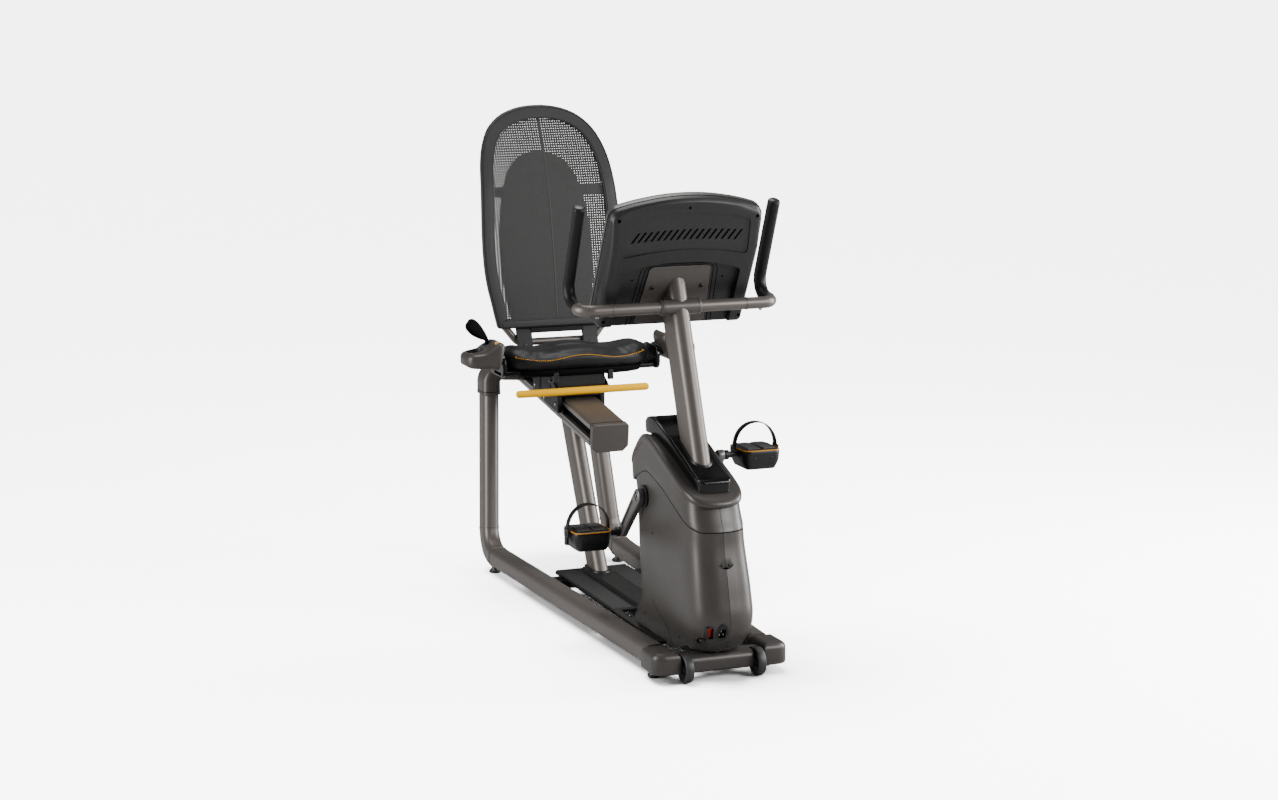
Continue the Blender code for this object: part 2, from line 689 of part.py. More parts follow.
# ---------------------------------------------------------------- drive train
spindle = turned(
    ((-0.0832, 0.029), (-0.0765, 0.030), (-0.0762, 0.0105), (0.0762, 0.0105), (0.0765, 0.030),
     (0.0832, 0.029)),
    CRANK_AXIS, 20,
)
solid("spindle", spindle, BLACK, 0.4, 0.3, CRANK_AXIS)
pulley = ((0.0480, 0.0108), (0.0480, PULLEY_RADIUS + 0.002), (0.0495, PULLEY_RADIUS + 0.002),
          (0.0500, PULLEY_RADIUS), (0.0640, PULLEY_RADIUS), (0.0640, 0.0108))
solid("drive_pulley", annulus(pulley, CRANK_AXIS, 28), (0.3, 0.3, 0.3), 0.4, 0.8, CRANK_AXIS)
flywheel = ((0.018, 0.0070), (0.018, 0.100), (0.044, 0.100), (0.044, 0.030), (0.0485, SHEAVE_RADIUS),
            (0.0660, SHEAVE_RADIUS), (0.0660, 0.0070))
solid("flywheel", annulus(flywheel, FLYWHEEL_AT, 28), (0.25, 0.25, 0.25), 0.4, 0.9, FLYWHEEL_AT)


def belt_loop(extra, count=10):
    """Outline of the belt round pulley and sheave, in (y, z)."""
    span = Vector((FLYWHEEL_AT.y - CRANK_AXIS.y, FLYWHEEL_AT.z - CRANK_AXIS.z))
    heading = math.atan2(span.y, span.x)
    lean = math.acos((PULLEY_RADIUS - SHEAVE_RADIUS) / span.length)
    loop = []
    for centre, radius, start, stop in (
        (CRANK_AXIS, PULLEY_RADIUS, heading + lean, heading + 2 * math.pi - lean),
        (FLYWHEEL_AT, SHEAVE_RADIUS, heading - lean, heading + lean),
    ):
        reach = (radius + 0.0008) / math.cos((stop - start) / count / 2) + extra
        for k in range(count + 1):
            a = start + (stop - start) * k / count
            loop.append((centre.y + reach * math.cos(a), centre.z + reach * math.sin(a)))
    return loop


belt = [[(x, y, z) for y, z in belt_loop(extra)]
        for x, extra in ((0.0510, 0), (0.0625, 0), (0.0625, 0.002), (0.0510, 0.002))]
solid("drive_belt", loft(belt, wrap=True), BLACK, 0.7)

for side_name, sx in SIDES:
    reach = Vector((0, math.cos(CRANK_ANGLE), -math.sin(CRANK_ANGLE))) * -sx * CRANK_LENGTH
    end = CRANK_AXIS + reach
    along = reach.normalized()
    across = Vector((0, -along.z, along.y))
    rings = []
    for x_in, x_out, grow in ((0.0836, 0.0836, -0.0015), (0.0860, 0.0860, 0), (0.0985, 0.1010, 0),
                              (0.1005, 0.1035, -0.003)):
        ring = []
        for centre, radius, turn, x in ((CRANK_AXIS, 0.0210, math.pi / 2, x_in),
                                        (end, 0.0150, -math.pi / 2, x_out)):
            for k in range(7):
                a = turn + math.pi * k / 6
                offset = along * math.cos(a) + across * math.sin(a)
                ring.append(centre + offset * (radius + grow) + Vector((sx * x, 0, 0)))
        rings.append(ring)
    solid(f"crank_{side_name}", loft(rings), WARM_GREY, 0.35, 0.7, CRANK_AXIS)

    pedal_x = 0.195
    outline = fillet([(-0.054, -0.054), (0.054, -0.054), (0.054, 0.058), (-0.054, 0.058)],
                     [0.022, 0.022, 0.014, 0.014], 3, closed=True)
    body = []
    for z, shrink in ((-0.038, 0.012), (-0.018, 0.003), (0.006, 0.0), (0.014, 0.001), (0.021, 0.007)):
        ring = [Vector((sx * (pedal_x + p.x), end.y + p.y, end.z + z)) for p in inset(outline, shrink)]
        body.append(ring)
    pedal = solid(f"pedal_{side_name}", loft(body), BLACK, 0.45, 0, end)
    add(pedal, turned(((sx * 0.1045, 0.009), (sx * 0.150, 0.009)), (0, end.y, end.z), 12))
    add(pedal, turned(((sx * 0.1045, 0.013), (sx * 0.116, 0.013)), (0, end.y, end.z), 12))
    strap_mid = []
    for k in range(15):
        a = math.pi * k / 14
        start = 0.002 if k < 7 else 0.0125  # the inner end stops above the axle
        strap_mid.append((0.0585 * math.cos(a), start + (0.082 - start) * math.sin(a) ** 0.82))
    strap_mid = [(0.0580, -0.024)] + strap_mid
    strap = []
    for i, (dx, dz) in enumerate(strap_mid):
        before, after = strap_mid[max(i - 1, 0)], strap_mid[min(i + 1, len(strap_mid) - 1)]
        heading = Vector((after[0] - before[0], after[1] - before[1])).normalized()
        normal = Vector((heading.y, -heading.x)) * -1
        ring = []
        for away, width in ((0, -0.0125), (0.0022, -0.0125), (0.0022, 0.0125), (0, 0.0125)):
            ring.append((sx * (pedal_x + dx + normal.x * -away), end.y + 0.004 + width,
                         end.z + dz + normal.y * -away))
        strap.append(ring)
    solid(f"pedal_strap_{side_name}", loft(strap), BLACK, 0.6, 0, end)

# ---------------------------------------------------------------- seat carriage
def carriage_ring(y):
    low = on_rail(0, 0, 0).z + (y - MONO_FRONT.y) * math.tan(SLOPE)
    side_low, bridge = low + 0.042, low + 0.0885
    half = ((0.0745, 0.6320), (0.0745, side_low), (0.0605, side_low), (0.0605, bridge))
    return [(x, y, z) for x, z in half] + [(-x, y, z) for x, z in reversed(half)]


carriage = solid("carriage", loft([carriage_ring(0.474), carriage_ring(0.700)]), BLACK, 0.45)
LEVER_PIVOT = Vector((0, 0.508, 0.6120))
LEVER_BAR = Vector((0, 0.458, 0.5870))
add(carriage, turned(((-0.0870, 0.0040), (0.0870, 0.0040)), LEVER_PIVOT, 10))
for place, along in (("front", 0.268), ("rear", 0.430)):
    for side_name, sx in SIDES:
        centre = on_rail(sx * 0.0515, along, 0.0480)
        roller = turned(((-0.0075, 0.0112), (-0.0055, 0.0130), (0.0055, 0.0130), (0.0075, 0.0112)),
                        centre, 16)
        solid(f"roller_{place}_{side_name}", roller, BLACK, 0.5, 0, centre)

lever_bar = [(-0.206, 0.0045), (-0.203, 0.0080), (-0.198, 0.0088), (0.198, 0.0088), (0.203, 0.0080),
             (0.206, 0.0045)]
lever = solid("release_lever", turned(lever_bar, LEVER_BAR, 14), (0.72, 0.40, 0.04), 0.5, 0, LEVER_PIVOT)
for sx in (-1, 1):
    rise = (LEVER_PIVOT - LEVER_BAR).normalized()
    across = Vector((0, -rise.z, rise.y)) * 0.0075
    blade = [LEVER_BAR + across, LEVER_PIVOT + across, LEVER_PIVOT + across * 0.7 + rise * 0.007,
             LEVER_PIVOT - across * 0.7 + rise * 0.007, LEVER_PIVOT - across, LEVER_BAR - across]
    add(lever, extruded([(p.y, p.z) for p in blade], sx * 0.0785, sx * 0.0835))
cut(lever, turned(((-0.0875, 0.0046), (-0.0740, 0.0046)), LEVER_PIVOT, 10),
    turned(((0.0740, 0.0046), (0.0875, 0.0046)), LEVER_PIVOT, 10))

# Seat pan with a wing to each armrest and two brackets that stop the lever.
pan_half = [(0.0, 0.452), (0.110, 0.455), (0.165, 0.466), (0.196, 0.490), (0.200, 0.560),
            (0.186, 0.640), (0.140, 0.700), (0.0, 0.704)]
pan = [full([(x * s, y0 + (0.58 - y0) * (1 - s), z) for x, y0 in pan_half])
       for z, s in ((0.6323, 0.94), (0.640, 1.0), (0.6520, 1.0))]
seat_pan = solid("seat_pan", bridged(pan), BLACK, 0.35)
for sx in (-1, 1):
    add(seat_pan, box((sx * 0.2000 - 0.0445, 0.478, 0.6390), (sx * 0.2000 + 0.0445, 0.545, 0.6510)))
    add(seat_pan, box((sx * 0.2395 - 0.0050, 0.480, 0.6450), (sx * 0.2395 + 0.0050, 0.543, 0.7030)))
    add(seat_pan, box((sx * 0.0850 - 0.0075, 0.4500, 0.6160), (sx * 0.0850 + 0.0075, 0.4640, 0.6450)))


def cushion_top(x, y):
    """Height of the cushion: a crown between the legs, a hollow for each, raised sides."""
    across = abs(x) / 0.232
    waves = 0.006 * math.cos(math.pi * across / 0.5) + 0.012 * across ** 4
    return 0.7050 + waves - 0.010 * max(0.0, (0.50 - y) / 0.06)


def cushion_outline(shrink, count=32):
    points = []
    for k in range(count):
        a = -math.pi / 2 + 2 * math.pi * k / count
        cx, cy = math.cos(a), math.sin(a)
        x = math.copysign(abs(cx) ** 0.62, cx) * (0.2320 - shrink)
        y = math.copysign(abs(cy) ** 0.62, cy) * (0.1085 - shrink) + 0.5485
        points.append(Vector((x, y)))
    return points


levels = (
    [(0.030, 0.6525), (0.012, 0.6560), (0.002, 0.6680), (0.0, 0.6830), (0.005, 0.6960)]
)
rings = [[(p.x, p.y, z) for p in cushion_outline(shrink)] for shrink, z in levels]
for shrink, drop in ((0.014, 0.004), (0.032, 0.0), (0.068, -0.001), (0.094, -0.001)):
    rings.append([(p.x, p.y, cushion_top(p.x, p.y) - drop) for p in cushion_outline(shrink)])
solid("seat_cushion", bridged(rings), CHARCOAL, 0.6)

# ---------------------------------------------------------------- seat back
BACK_CURVE = ((0.70, 0.668), (0.748, 0.680), (0.90, 0.705), (1.05, 0.735), (1.15, 0.757),
              (1.20, 0.776), (1.25, 0.799), (1.30, 0.825), (1.35, 0.851), (1.40, 0.870))


def back_outline(shrink):
    """Symmetric (x, z) outline of the seat back from its bottom centre, moved in by shrink.

    The bar across the bottom is about two thirds as wide as the sides.
    """
    half = [(0.0, 0.7470), (0.060, 0.7470), (0.120, 0.7470), (0.160, 0.7472), (0.1895, 0.7475),
            (0.1970, 0.785), (0.2050, 0.826), (0.2145, 0.874), (0.2200, 0.930), (0.2205, 1.000),
            (0.2165, 1.090), (0.211, 1.170), (0.204, 1.230), (0.190, 1.282), (0.166, 1.328),
            (0.130, 1.362), (0.090, 1.382), (0.046, 1.393), (0.0, 1.396)]
    loop = [Vector(p) for p in half] + [Vector((-x, z)) for x, z in reversed(half[1:-1])]
    moved = []
    for i, p in enumerate(loop):
        before = (p - loop[i - 1]).normalized()
        after = (loop[(i + 1) % len(loop)] - p).normalized()
        inwards = Vector((-before.y - after.y, before.x + after.x)).normalized()
        reach = shrink / max(inwards.dot(Vector((-before.y, before.x))), 0.5)
        lower = 0.36 * shrink if i <= 4 or i >= len(loop) - 4 else 0.0
        moved.append(p + inwards * reach - Vector((0, lower)))
    return moved


def on_back(p, behind):
    return Vector((p.x, table(p.y, BACK_CURVE) + behind, p.y))


section = ((0.0, -0.003), (0.004, -0.009), (0.036, -0.009), (0.0395, -0.004), (0.0395, 0.006),
           (0.034, 0.009), (0.003, 0.009))
loops = [[on_back(p, behind) for p in back_outline(shrink)] for shrink, behind in section]
rim = [[loop[i] for loop in loops] for i in range(len(loops[0]))]
solid("back_rim", loft(rim, wrap=True), CHARCOAL, 0.6)
mesh_rings = [[on_back(p, behind) for p in back_outline(0.0400)] for behind in (-0.002, 0.002)]
solid("back_mesh", bridged(mesh_rings), BLACK, 0.8)

plate_half = [(0.0, 0.7700), (0.090, 0.7705), (0.114, 0.775), (0.124, 0.800), (0.134, 0.850),
              (0.144, 0.900), (0.146, 0.960), (0.138, 1.060), (0.128, 1.130), (0.108, 1.190),
              (0.080, 1.228), (0.040, 1.250), (0.0, 1.256)]
plate_loop = [Vector(p) for p in plate_half] + [Vector((-x, z)) for x, z in reversed(plate_half[1:-1])]
plate = solid("back_plate", bridged([[on_back(p, b) for p in plate_loop] for b in (0.062, 0.069)]),
              BLACK, 0.5)
for sx in (-1, 1):
    arm = [[(sx * 0.115, 0.8185, z), (sx * 0.115, 0.8300, z), (sx * 0.196, 0.7830, z),
            (sx * 0.196, 0.7715, z)] for z in (1.125, 1.155)]
    add(plate, loft(arm))

tube = [(-0.160, 0.7420, 0.8300), (-0.168, 0.7090, 0.7600), (-0.120, 0.7030, 0.7000)]
tube += [(-x, y, z) for x, y, z in reversed(tube)]
path = fillet(tube, [0, 0.030, 0.030, 0.030, 0.030, 0], 4)
solid("back_tube", loft(sweep(path, disc(0.0110, 12), (0, 1, 0))), WARM_GREY, 0.4, 0.5)
strut = [(0.6620, 0.6524), (0.6740, 0.6524), (0.7160, 0.8000), (0.7060, 0.8000)]
struts = solid("back_struts", box((-0.0850, 0.6840, 0.7150), (0.0850, 0.6990, 0.7440)), BLACK, 0.4)
add(struts, extruded(strut, -0.128, -0.080), extruded(strut, 0.080, 0.128))

# ---------------------------------------------------------------- armrests
ARM = (  # x, front, rear, bottom, top
    (-0.3570, 0.472, 0.512, 0.6820, 0.7000), (-0.3510, 0.452, 0.532, 0.6760, 0.7080),
    (-0.3370, 0.440, 0.546, 0.6710, 0.7120), (-0.3050, 0.434, 0.552, 0.6690, 0.7160),
    (-0.2840, 0.432, 0.554, 0.6680, 0.7280), (-0.2620, 0.430, 0.546, 0.6680, 0.7420),
    (-0.2490, 0.434, 0.530, 0.7120, 0.7420), (-0.2420, 0.446, 0.515, 0.7190, 0.7340),
)
POD = Vector((-0.262, 0.458, 0.7420))
for side_name, sx in SIDES:
    rings = []
    for x, front, rear, low, high in ARM:
        ring = rounded(rear - front, high - low, min(0.014, (high - low) * 0.40), 3)
        rings.append([(-sx * x, (front + rear) / 2 + p.x, (low + high) / 2 + p.y) for p in ring])
    arm = solid(f"armrest_{side_name}", loft(rings), WARM_GREY, 0.5)
    add(arm, box((sx * 0.2580 - 0.0132, 0.482, 0.6740), (sx * 0.2580 + 0.0132, 0.541, 0.7060)))
    recess_low = (min(sx * 0.337, sx * 0.291), 0.474, 0.7020)
    recess_high = (max(sx * 0.337, sx * 0.291), 0.538, 0.80)
    cut(arm, box(recess_low, recess_high))
    if sx < 0:  # slot for the foot of the recline lever
        cut(arm, box((-0.2880, 0.5025, 0.7270), (-0.2640, 0.5275, 0.80)))
    centre = Vector((-sx * POD.x, POD.y, POD.z))
    cut(arm, turned(((-0.006, 0.0080), (0.02, 0.0080)), centre, 12, "Z"))
    solid(f"arm_button_{side_name}", turned(((-0.0035, 0.0072), (0.0022, 0.0072), (0.0030, 0.0060)),
          centre, 12, "Z"), (0.8, 0.8, 0.8), 0.4, 0, centre)

# Recline lever on the rider's right: a flat paddle that leans out.
LEVER_FOOT = Vector((-0.2755, 0.5150, 0.7350))
paddle = (  # x, y, z, half-width, half-thickness
    (-0.2755, 0.5150, 0.7310, 0.005, 0.005), (-0.2765, 0.5146, 0.7420, 0.006, 0.005),
    (-0.2820, 0.5115, 0.7500, 0.008, 0.006), (-0.2930, 0.5060, 0.7590, 0.013, 0.008),
    (-0.3150, 0.4960, 0.7780, 0.020, 0.011), (-0.3340, 0.4880, 0.7960, 0.019, 0.010),
    (-0.3410, 0.4850, 0.8030, 0.012, 0.006),
)
path = [Vector(p[:3]) for p in paddle]
profiles = [rounded(2 * p[3], 2 * p[4], min(p[3], p[4]) * 0.6, 2) for p in paddle]
solid("recline_lever", loft(sweep(path, profiles, (0.75, 0.3, 0.6))), BLACK, 0.4, 0, LEVER_FOOT)
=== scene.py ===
import math

import bmesh
import bpy
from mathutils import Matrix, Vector
from mathutils.bvhtree import BVHTree


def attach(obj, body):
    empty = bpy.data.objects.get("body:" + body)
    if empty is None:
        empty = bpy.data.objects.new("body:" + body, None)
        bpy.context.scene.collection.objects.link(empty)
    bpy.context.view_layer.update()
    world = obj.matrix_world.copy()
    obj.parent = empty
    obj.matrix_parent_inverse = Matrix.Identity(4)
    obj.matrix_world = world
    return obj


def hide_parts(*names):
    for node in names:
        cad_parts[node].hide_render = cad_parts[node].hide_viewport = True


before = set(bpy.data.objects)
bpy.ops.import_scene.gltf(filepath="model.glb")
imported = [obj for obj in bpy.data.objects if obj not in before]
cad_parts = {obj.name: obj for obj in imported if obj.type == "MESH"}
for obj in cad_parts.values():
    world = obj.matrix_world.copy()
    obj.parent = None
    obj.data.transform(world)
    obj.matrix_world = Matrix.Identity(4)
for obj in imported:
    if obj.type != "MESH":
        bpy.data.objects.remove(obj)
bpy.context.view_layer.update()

# Lengths along Y are given as in the CAD source, and SHIFT moves them into the row frame.
SHIFT = Vector((0, -0.153, 0))
SIDES = (("right", -1), ("left", 1))
CRANK_AXIS = Vector((0, -0.24, 0.419))
CRANK_LENGTH, CRANK_ANGLE = 0.17, math.radians(45.7)
SLOPE = math.radians(7.7)
MONO_FRONT, MONO_LENGTH = Vector((0, 0.231, 0.4455)), 0.737
MONO_ALONG = Vector((0, math.cos(SLOPE), math.sin(SLOPE)))
MONO_UP = Vector((0, -math.sin(SLOPE), math.cos(SLOPE)))
MAST_DIR = Vector((0, 0.374, 0.928)).normalized()
MAST_AT = Vector((0, -0.264, 0.935))
BAR_AT = Vector((0, -0.3, 0.935))
WHEEL_AT = Vector((0.101, -0.599, 0.0385))
CONSOLE_UP = Vector((0, -0.473, 0.881)).normalized()
CONSOLE_OUT = Vector((0, -0.881, -0.473)).normalized()
RESET_AT = Vector((-0.0634, -0.602, 0.1138))
CONSOLE_LOW = Vector((0, -0.186, 0.891))
# The housing's seam, the shroud's lip and the shells' lower edge, as (y, height).
SEAM = ((-0.66, 0.392), (-0.606, 0.39), (-0.585, 0.392), (-0.534, 0.407), (-0.455, 0.436),
    (-0.379, 0.462), (-0.3, 0.482), (-0.23, 0.49), (-0.2, 0.486), (-0.17, 0.455), (-0.15, 0.44))
LIP = ((-0.6, 0.464), (-0.585, 0.468), (-0.553, 0.483), (-0.46, 0.515), (-0.324, 0.566),
    (-0.26, 0.585), (-0.22, 0.583), (-0.19, 0.57), (-0.161, 0.541), (-0.135, 0.505),
    (-0.124, 0.475))
FOOTLINE = ((-0.503, 0.072), (-0.43, 0.044))
# The lower housing: height, front, rear, half-width in front, half-width behind.
LOWER = ((0.044, -0.592, -0.104, 0.064, 0.064), (0.076, -0.612, -0.14, 0.071, 0.068),
    (0.131, -0.649, -0.186, 0.083, 0.07), (0.173, -0.658, -0.185, 0.087, 0.0705),
    (0.223, -0.647, -0.179, 0.087, 0.071), (0.273, -0.634, -0.172, 0.085, 0.072),
    (0.345, -0.613, -0.164, 0.081, 0.073), (0.39, -0.606, -0.15, 0.079, 0.0735))
# The line of the seat back, as (height, y).
BACK_CURVE = ((0.7, 0.668), (0.748, 0.68), (0.9, 0.705), (1.05, 0.735), (1.15, 0.757),
    (1.2, 0.776), (1.25, 0.799), (1.3, 0.825), (1.35, 0.851), (1.4, 0.87))


def surface(name, colour, rough=0.5, metal=0.0, tint=0.08, patch=11.0, grain=0.25,
        scale=1300.0, depth=0.0002, coat=0.0, stretch=(1, 1, 1), kind="noise", fleck=None,
        sheen=0.0, spread=0.05, shine=0.5):
    """A procedural finish: soft colour and gloss variation over a fine relief."""
    mat = bpy.data.materials.new(name)
    mat.use_nodes = True
    tree = mat.node_tree
    new, join = tree.nodes.new, tree.links.new
    shader = tree.nodes["Principled BSDF"]
    shader.inputs["Metallic"].default_value = metal
    shader.inputs["Specular IOR Level"].default_value = shine
    if coat:
        shader.inputs["Coat Weight"].default_value = coat
        shader.inputs["Coat Roughness"].default_value = 0.08
    if sheen:
        shader.inputs["Sheen Weight"].default_value = sheen
        shader.inputs["Sheen Roughness"].default_value = 0.4
    where = new("ShaderNodeTexCoord")
    place = new("ShaderNodeMapping")
    place.inputs["Scale"].default_value = stretch
    join(where.outputs["Object"], place.inputs["Vector"])
    cloud = new("ShaderNodeTexNoise")
    cloud.inputs["Scale"].default_value = patch
    cloud.inputs["Detail"].default_value = 5
    join(place.outputs["Vector"], cloud.inputs["Vector"])
    mix = new("ShaderNodeMix")
    mix.data_type = "RGBA"
    mix.inputs[6].default_value = (*[c * (1 - tint) for c in colour], 1)
    mix.inputs[7].default_value = (*[c * (1 + tint) for c in colour], 1)
    join(cloud.outputs["Fac"], mix.inputs[0])
    last = mix.outputs[2]
    if fleck:
        speck = new("ShaderNodeTexNoise")
        speck.inputs["Scale"].default_value = fleck[1]
        speck.inputs["Detail"].default_value = 1
        join(where.outputs["Object"], speck.inputs["Vector"])
        ramp = new("ShaderNodeValToRGB")
        ramp.color_ramp.elements[0].position = fleck[2]
        ramp.color_ramp.elements[1].position = fleck[2] + 0.08
        join(speck.outputs["Fac"], ramp.inputs["Fac"])
        over = new("ShaderNodeMix")
        over.data_type = "RGBA"
        over.inputs[7].default_value = (*fleck[0], 1)
        join(ramp.outputs["Color"], over.inputs[0])
        join(last, over.inputs[6])
        last = over.outputs[2]
    join(last, shader.inputs["Base Color"])
    gloss = new("ShaderNodeMapRange")
    gloss.inputs["To Min"].default_value = max(0.02, rough - spread)
    gloss.inputs["To Max"].default_value = rough + spread
    join(cloud.outputs["Fac"], gloss.inputs["Value"])
    join(gloss.outputs["Result"], shader.inputs["Roughness"])
    relief = new("ShaderNodeBump")
    relief.inputs["Strength"].default_value = grain
    relief.inputs["Distance"].default_value = depth
    if kind == "cells":
        fine = new("ShaderNodeTexVoronoi")
        fine.feature = "DISTANCE_TO_EDGE"
        out = fine.outputs["Distance"]
    elif kind == "ribs":
        fine = new("ShaderNodeTexWave")
        fine.bands_direction = "Y"
        out = fine.outputs["Fac"]
    else:
        fine = new("ShaderNodeTexNoise")
        fine.inputs["Detail"].default_value = 2
        out = fine.outputs["Fac"]
    fine.inputs["Scale"].default_value = scale
    join(place.outputs["Vector"], fine.inputs["Vector"])
    join(out, relief.inputs["Height"])
    join(relief.outputs["Normal"], shader.inputs["Normal"])
    return mat


PAINT = surface("warm_grey_powder_coat", (0.11, 0.097, 0.088), 0.42, 0.55,
    scale=1700, grain=0.2)
SHELL = surface("warm_grey_moulding", (0.045, 0.04, 0.0365), 0.4, 0.25, scale=2100,
    grain=0.22)
TRIM = surface("warm_grey_trim", (0.06, 0.053, 0.0485), 0.4, 0.25, scale=2100,
    grain=0.18)
CRANK = surface("crank_grey", (0.15, 0.142, 0.136), 0.34, 0.65, scale=900,
    grain=0.15)
BLACK = surface("black_moulding", (0.003, 0.003, 0.0032), 0.38, scale=1900,
    grain=0.3, shine=0.38)
# Near-black: the own colour of some black parts, and painted shade in a crease, holes, recesses
# and behind vent slots.
DEEP = surface("black_and_painted_recess_shade", (0.001, 0.001, 0.0011), 0.7, scale=900, grain=0.2,
    shine=0.05)
GLOSS = surface("gloss_black_moulding", (0.002, 0.002, 0.0021), 0.22, coat=0.12,
    grain=0.05, scale=400, spread=0.03, shine=0.25)
GLASS = surface("screen_glass", (0.006, 0.006, 0.007), 0.07, coat=0.6, grain=0.02,
    scale=60, spread=0.02)
RUBBER = surface("foam_rubber", (0.004, 0.004, 0.0042), 0.45, scale=1100,
    grain=0.5, depth=0.0003, shine=0.22)
TREAD = surface("wheel_rubber", (0.024, 0.024, 0.0245), 0.5, 0.0, scale=1500,
    grain=0.3)
PAD = surface("foot_rubber", (0.006, 0.006, 0.006), 0.65, scale=900, grain=0.4)
ALLOY = surface("rail_alloy", (0.24, 0.23, 0.22), 0.34, 0.9, tint=0.06,
    stretch=(1, 0.02, 1), scale=1500, grain=0.25, depth=0.0001)
COVER = surface("rail_cover", (0.066, 0.055, 0.047), 0.42, 0.35, tint=0.1,
    scale=700, grain=0.55, depth=0.0004, fleck=((0.1, 0.074, 0.056), 900, 0.55))
STEEL = surface("bright_steel", (0.3, 0.3, 0.3), 0.25, 1.0, stretch=(1, 1, 6),
    scale=600, grain=0.1)
DARK_STEEL = surface("dark_steel", (0.014, 0.014, 0.0145), 0.4, 0.5, scale=1300,
    grain=0.35)
IRON = surface("machined_iron", (0.15, 0.15, 0.15), 0.45, 0.9, scale=500,
    grain=0.3)
VINYL = surface("charcoal_vinyl", (0.0085, 0.0085, 0.0087), 0.44, tint=0.12,
    patch=18, scale=420, grain=0.35, depth=0.00035, kind="cells", sheen=0.02, shine=0.2)
THREAD = surface("golden_thread", (0.85, 0.38, 0.012), 0.6, scale=2500, grain=0.6,
    sheen=0.1, shine=0.15)
CHARCOAL = surface("charcoal_moulding", (0.0115, 0.0115, 0.0118), 0.5, tint=0.06,
    scale=1000, grain=0.55, depth=0.0004, shine=0.28)
NET = surface("knitted_net", (0.026, 0.0257, 0.0253), 0.55, tint=0.15, patch=60,
    scale=2600, grain=0.7, depth=0.0003, sheen=0.04, shine=0.15)
HOUSING = surface("console_moulding", (0.0135, 0.0135, 0.0138), 0.42, scale=1500,
    grain=0.35, shine=0.32)
YELLOW = surface("speckled_yellow", (0.72, 0.365, 0.0005), 0.7, tint=0.12,
    patch=160, scale=900, grain=0.4, fleck=((0.78, 0.42, 0.002), 700, 0.56), shine=0.02)
ORANGE = surface("orange_line", (0.66, 0.245, 0.004), 0.45, scale=900, grain=0.2,
    shine=0.2)
RED = surface("red_rocker", (0.9, 0.02, 0.014), 0.3, coat=0.3, scale=500, grain=0.05,
    shine=0.3)
WHITE = surface("white_button", (0.42, 0.41, 0.39), 0.4, scale=900, grain=0.1)
RIBBED = surface("ribbed_step", (0.008, 0.008, 0.0082), 0.55, scale=95, grain=0.8,
    depth=0.0008, kind="ribs")
# Light grey of painted highlight, laid as thin lines along edges of black parts where light
# catches them.
PAINTED_EDGE_HIGHLIGHT = surface("painted_edge_highlight", (0.13, 0.125, 0.12), 0.35, 0.5, scale=900,
    grain=0.1)


# ---------------------------------------------------------------- shapes
def loft(rings, caps=True, wrap=False):
    """Skin over equal-length closed rings. wrap joins the last ring to the first."""
    count = len(rings[0])
    points = [Vector(p) for ring in rings for p in ring]
    faces = []
    for row in range(len(rings) if wrap else len(rings) - 1):
        low, high = row * count, (row + 1) % len(rings) * count
        faces += [(low + i, low + (i + 1) % count, high + (i + 1) % count, high + i)
            for i in range(count)]
    if caps and not wrap:
        faces += [tuple(range(count)), tuple(range(len(points) - count, len(points)))]
    return points, faces


def bridged(rings):
    """Skin over rings symmetric in X, with quads straight across each end."""
    points, faces = loft(rings, caps=False)
    count = len(rings[0])
    for base in (0, len(points) - count):
        for i in range(count // 2):
            quad = (i, i + 1, (count - i - 1) % count, (count - i) % count)
            faces.append(tuple(dict.fromkeys(base + k for k in quad)))
    return points, faces


def thick(outer, inner, wrap=False):
    """A wall between two grids of the same size. wrap closes each row on itself."""
    rows, columns = len(outer), len(outer[0])
    points = [Vector(p) for grid in (outer, inner) for row in grid for p in row]
    inside = rows * columns
    steps = columns if wrap else columns - 1
    faces = []
    for base in (0, inside):
        for r in range(rows - 1):
            for c in range(steps):
                d = (c + 1) % columns
                low, high = base + r * columns, base + (r + 1) * columns
                faces.append((low + c, low + d, high + d, high + c))
    for r in (0, rows - 1):
        for c in range(steps):
            a, b = r * columns + c, r * columns + (c + 1) % columns
            faces.append((a, b, inside + b, inside + a))
    if not wrap:
        for c in (0, columns - 1):
            for r in range(rows - 1):
                a, b = r * columns + c, (r + 1) * columns + c
                faces.append((a, b, inside + b, inside + a))
    return points, faces


def joined(*shapes):
    points, faces = [], []
    for more, skin in shapes:
        base = len(points)
        points += [Vector(p) for p in more]
        faces += [tuple(base + i for i in face) for face in skin]
    return points, faces


def mirrored(half):
    """The points of half, then their mirror images in X, in reverse."""
    return list(half) + [(-p[0], *p[1:]) for p in reversed(half)]


def half_turn(centre, radius, start, along, across, steps):
    """Points on half a circle. Angles run from along towards across, from start on."""
    angles = [start + math.pi * k / steps for k in range(steps + 1)]
    return [centre + (along * math.cos(a) + across * math.sin(a)) * radius for a in angles]


def fillet(points, radii, steps, closed=False):
    """A polyline with round corners, in two or three dimensions."""
    points = [Vector(p) for p in points]
    out = []
    for i, p in enumerate(points):
        radius = radii[i] if isinstance(radii, (list, tuple)) else radii
        if not radius or (not closed and i in (0, len(points) - 1)):
            out.append(p)
            continue
        to_a = (points[i - 1] - p).normalized()
        to_b = (points[(i + 1) % len(points)] - p).normalized()
        half = to_a.angle(to_b) / 2
        centre = p + (to_a + to_b).normalized() * (radius / math.sin(half))
        start = p + to_a * (radius / math.tan(half)) - centre
        end = p + to_b * (radius / math.tan(half)) - centre
        turn = start.angle(end)
        for k in range(steps + 1):
            t = k / steps
            mixed = start * math.sin((1 - t) * turn) + end * math.sin(t * turn)
            out.append(centre + mixed / math.sin(turn))
    return out


def panel(x0, y0, x1, y1, radii, steps):
    """A rectangle between two corners, with round corners."""
    return fillet([(x0, y0), (x1, y0), (x1, y1), (x0, y1)], radii, steps, closed=True)


def rounded(width, height, radius, steps=8):
    x, y = width / 2, height / 2
    return panel(-x, -y, x, y, radius, steps)


def oval(width, depth, steps=14):
    return rounded(width, depth, width * 0.499, steps)


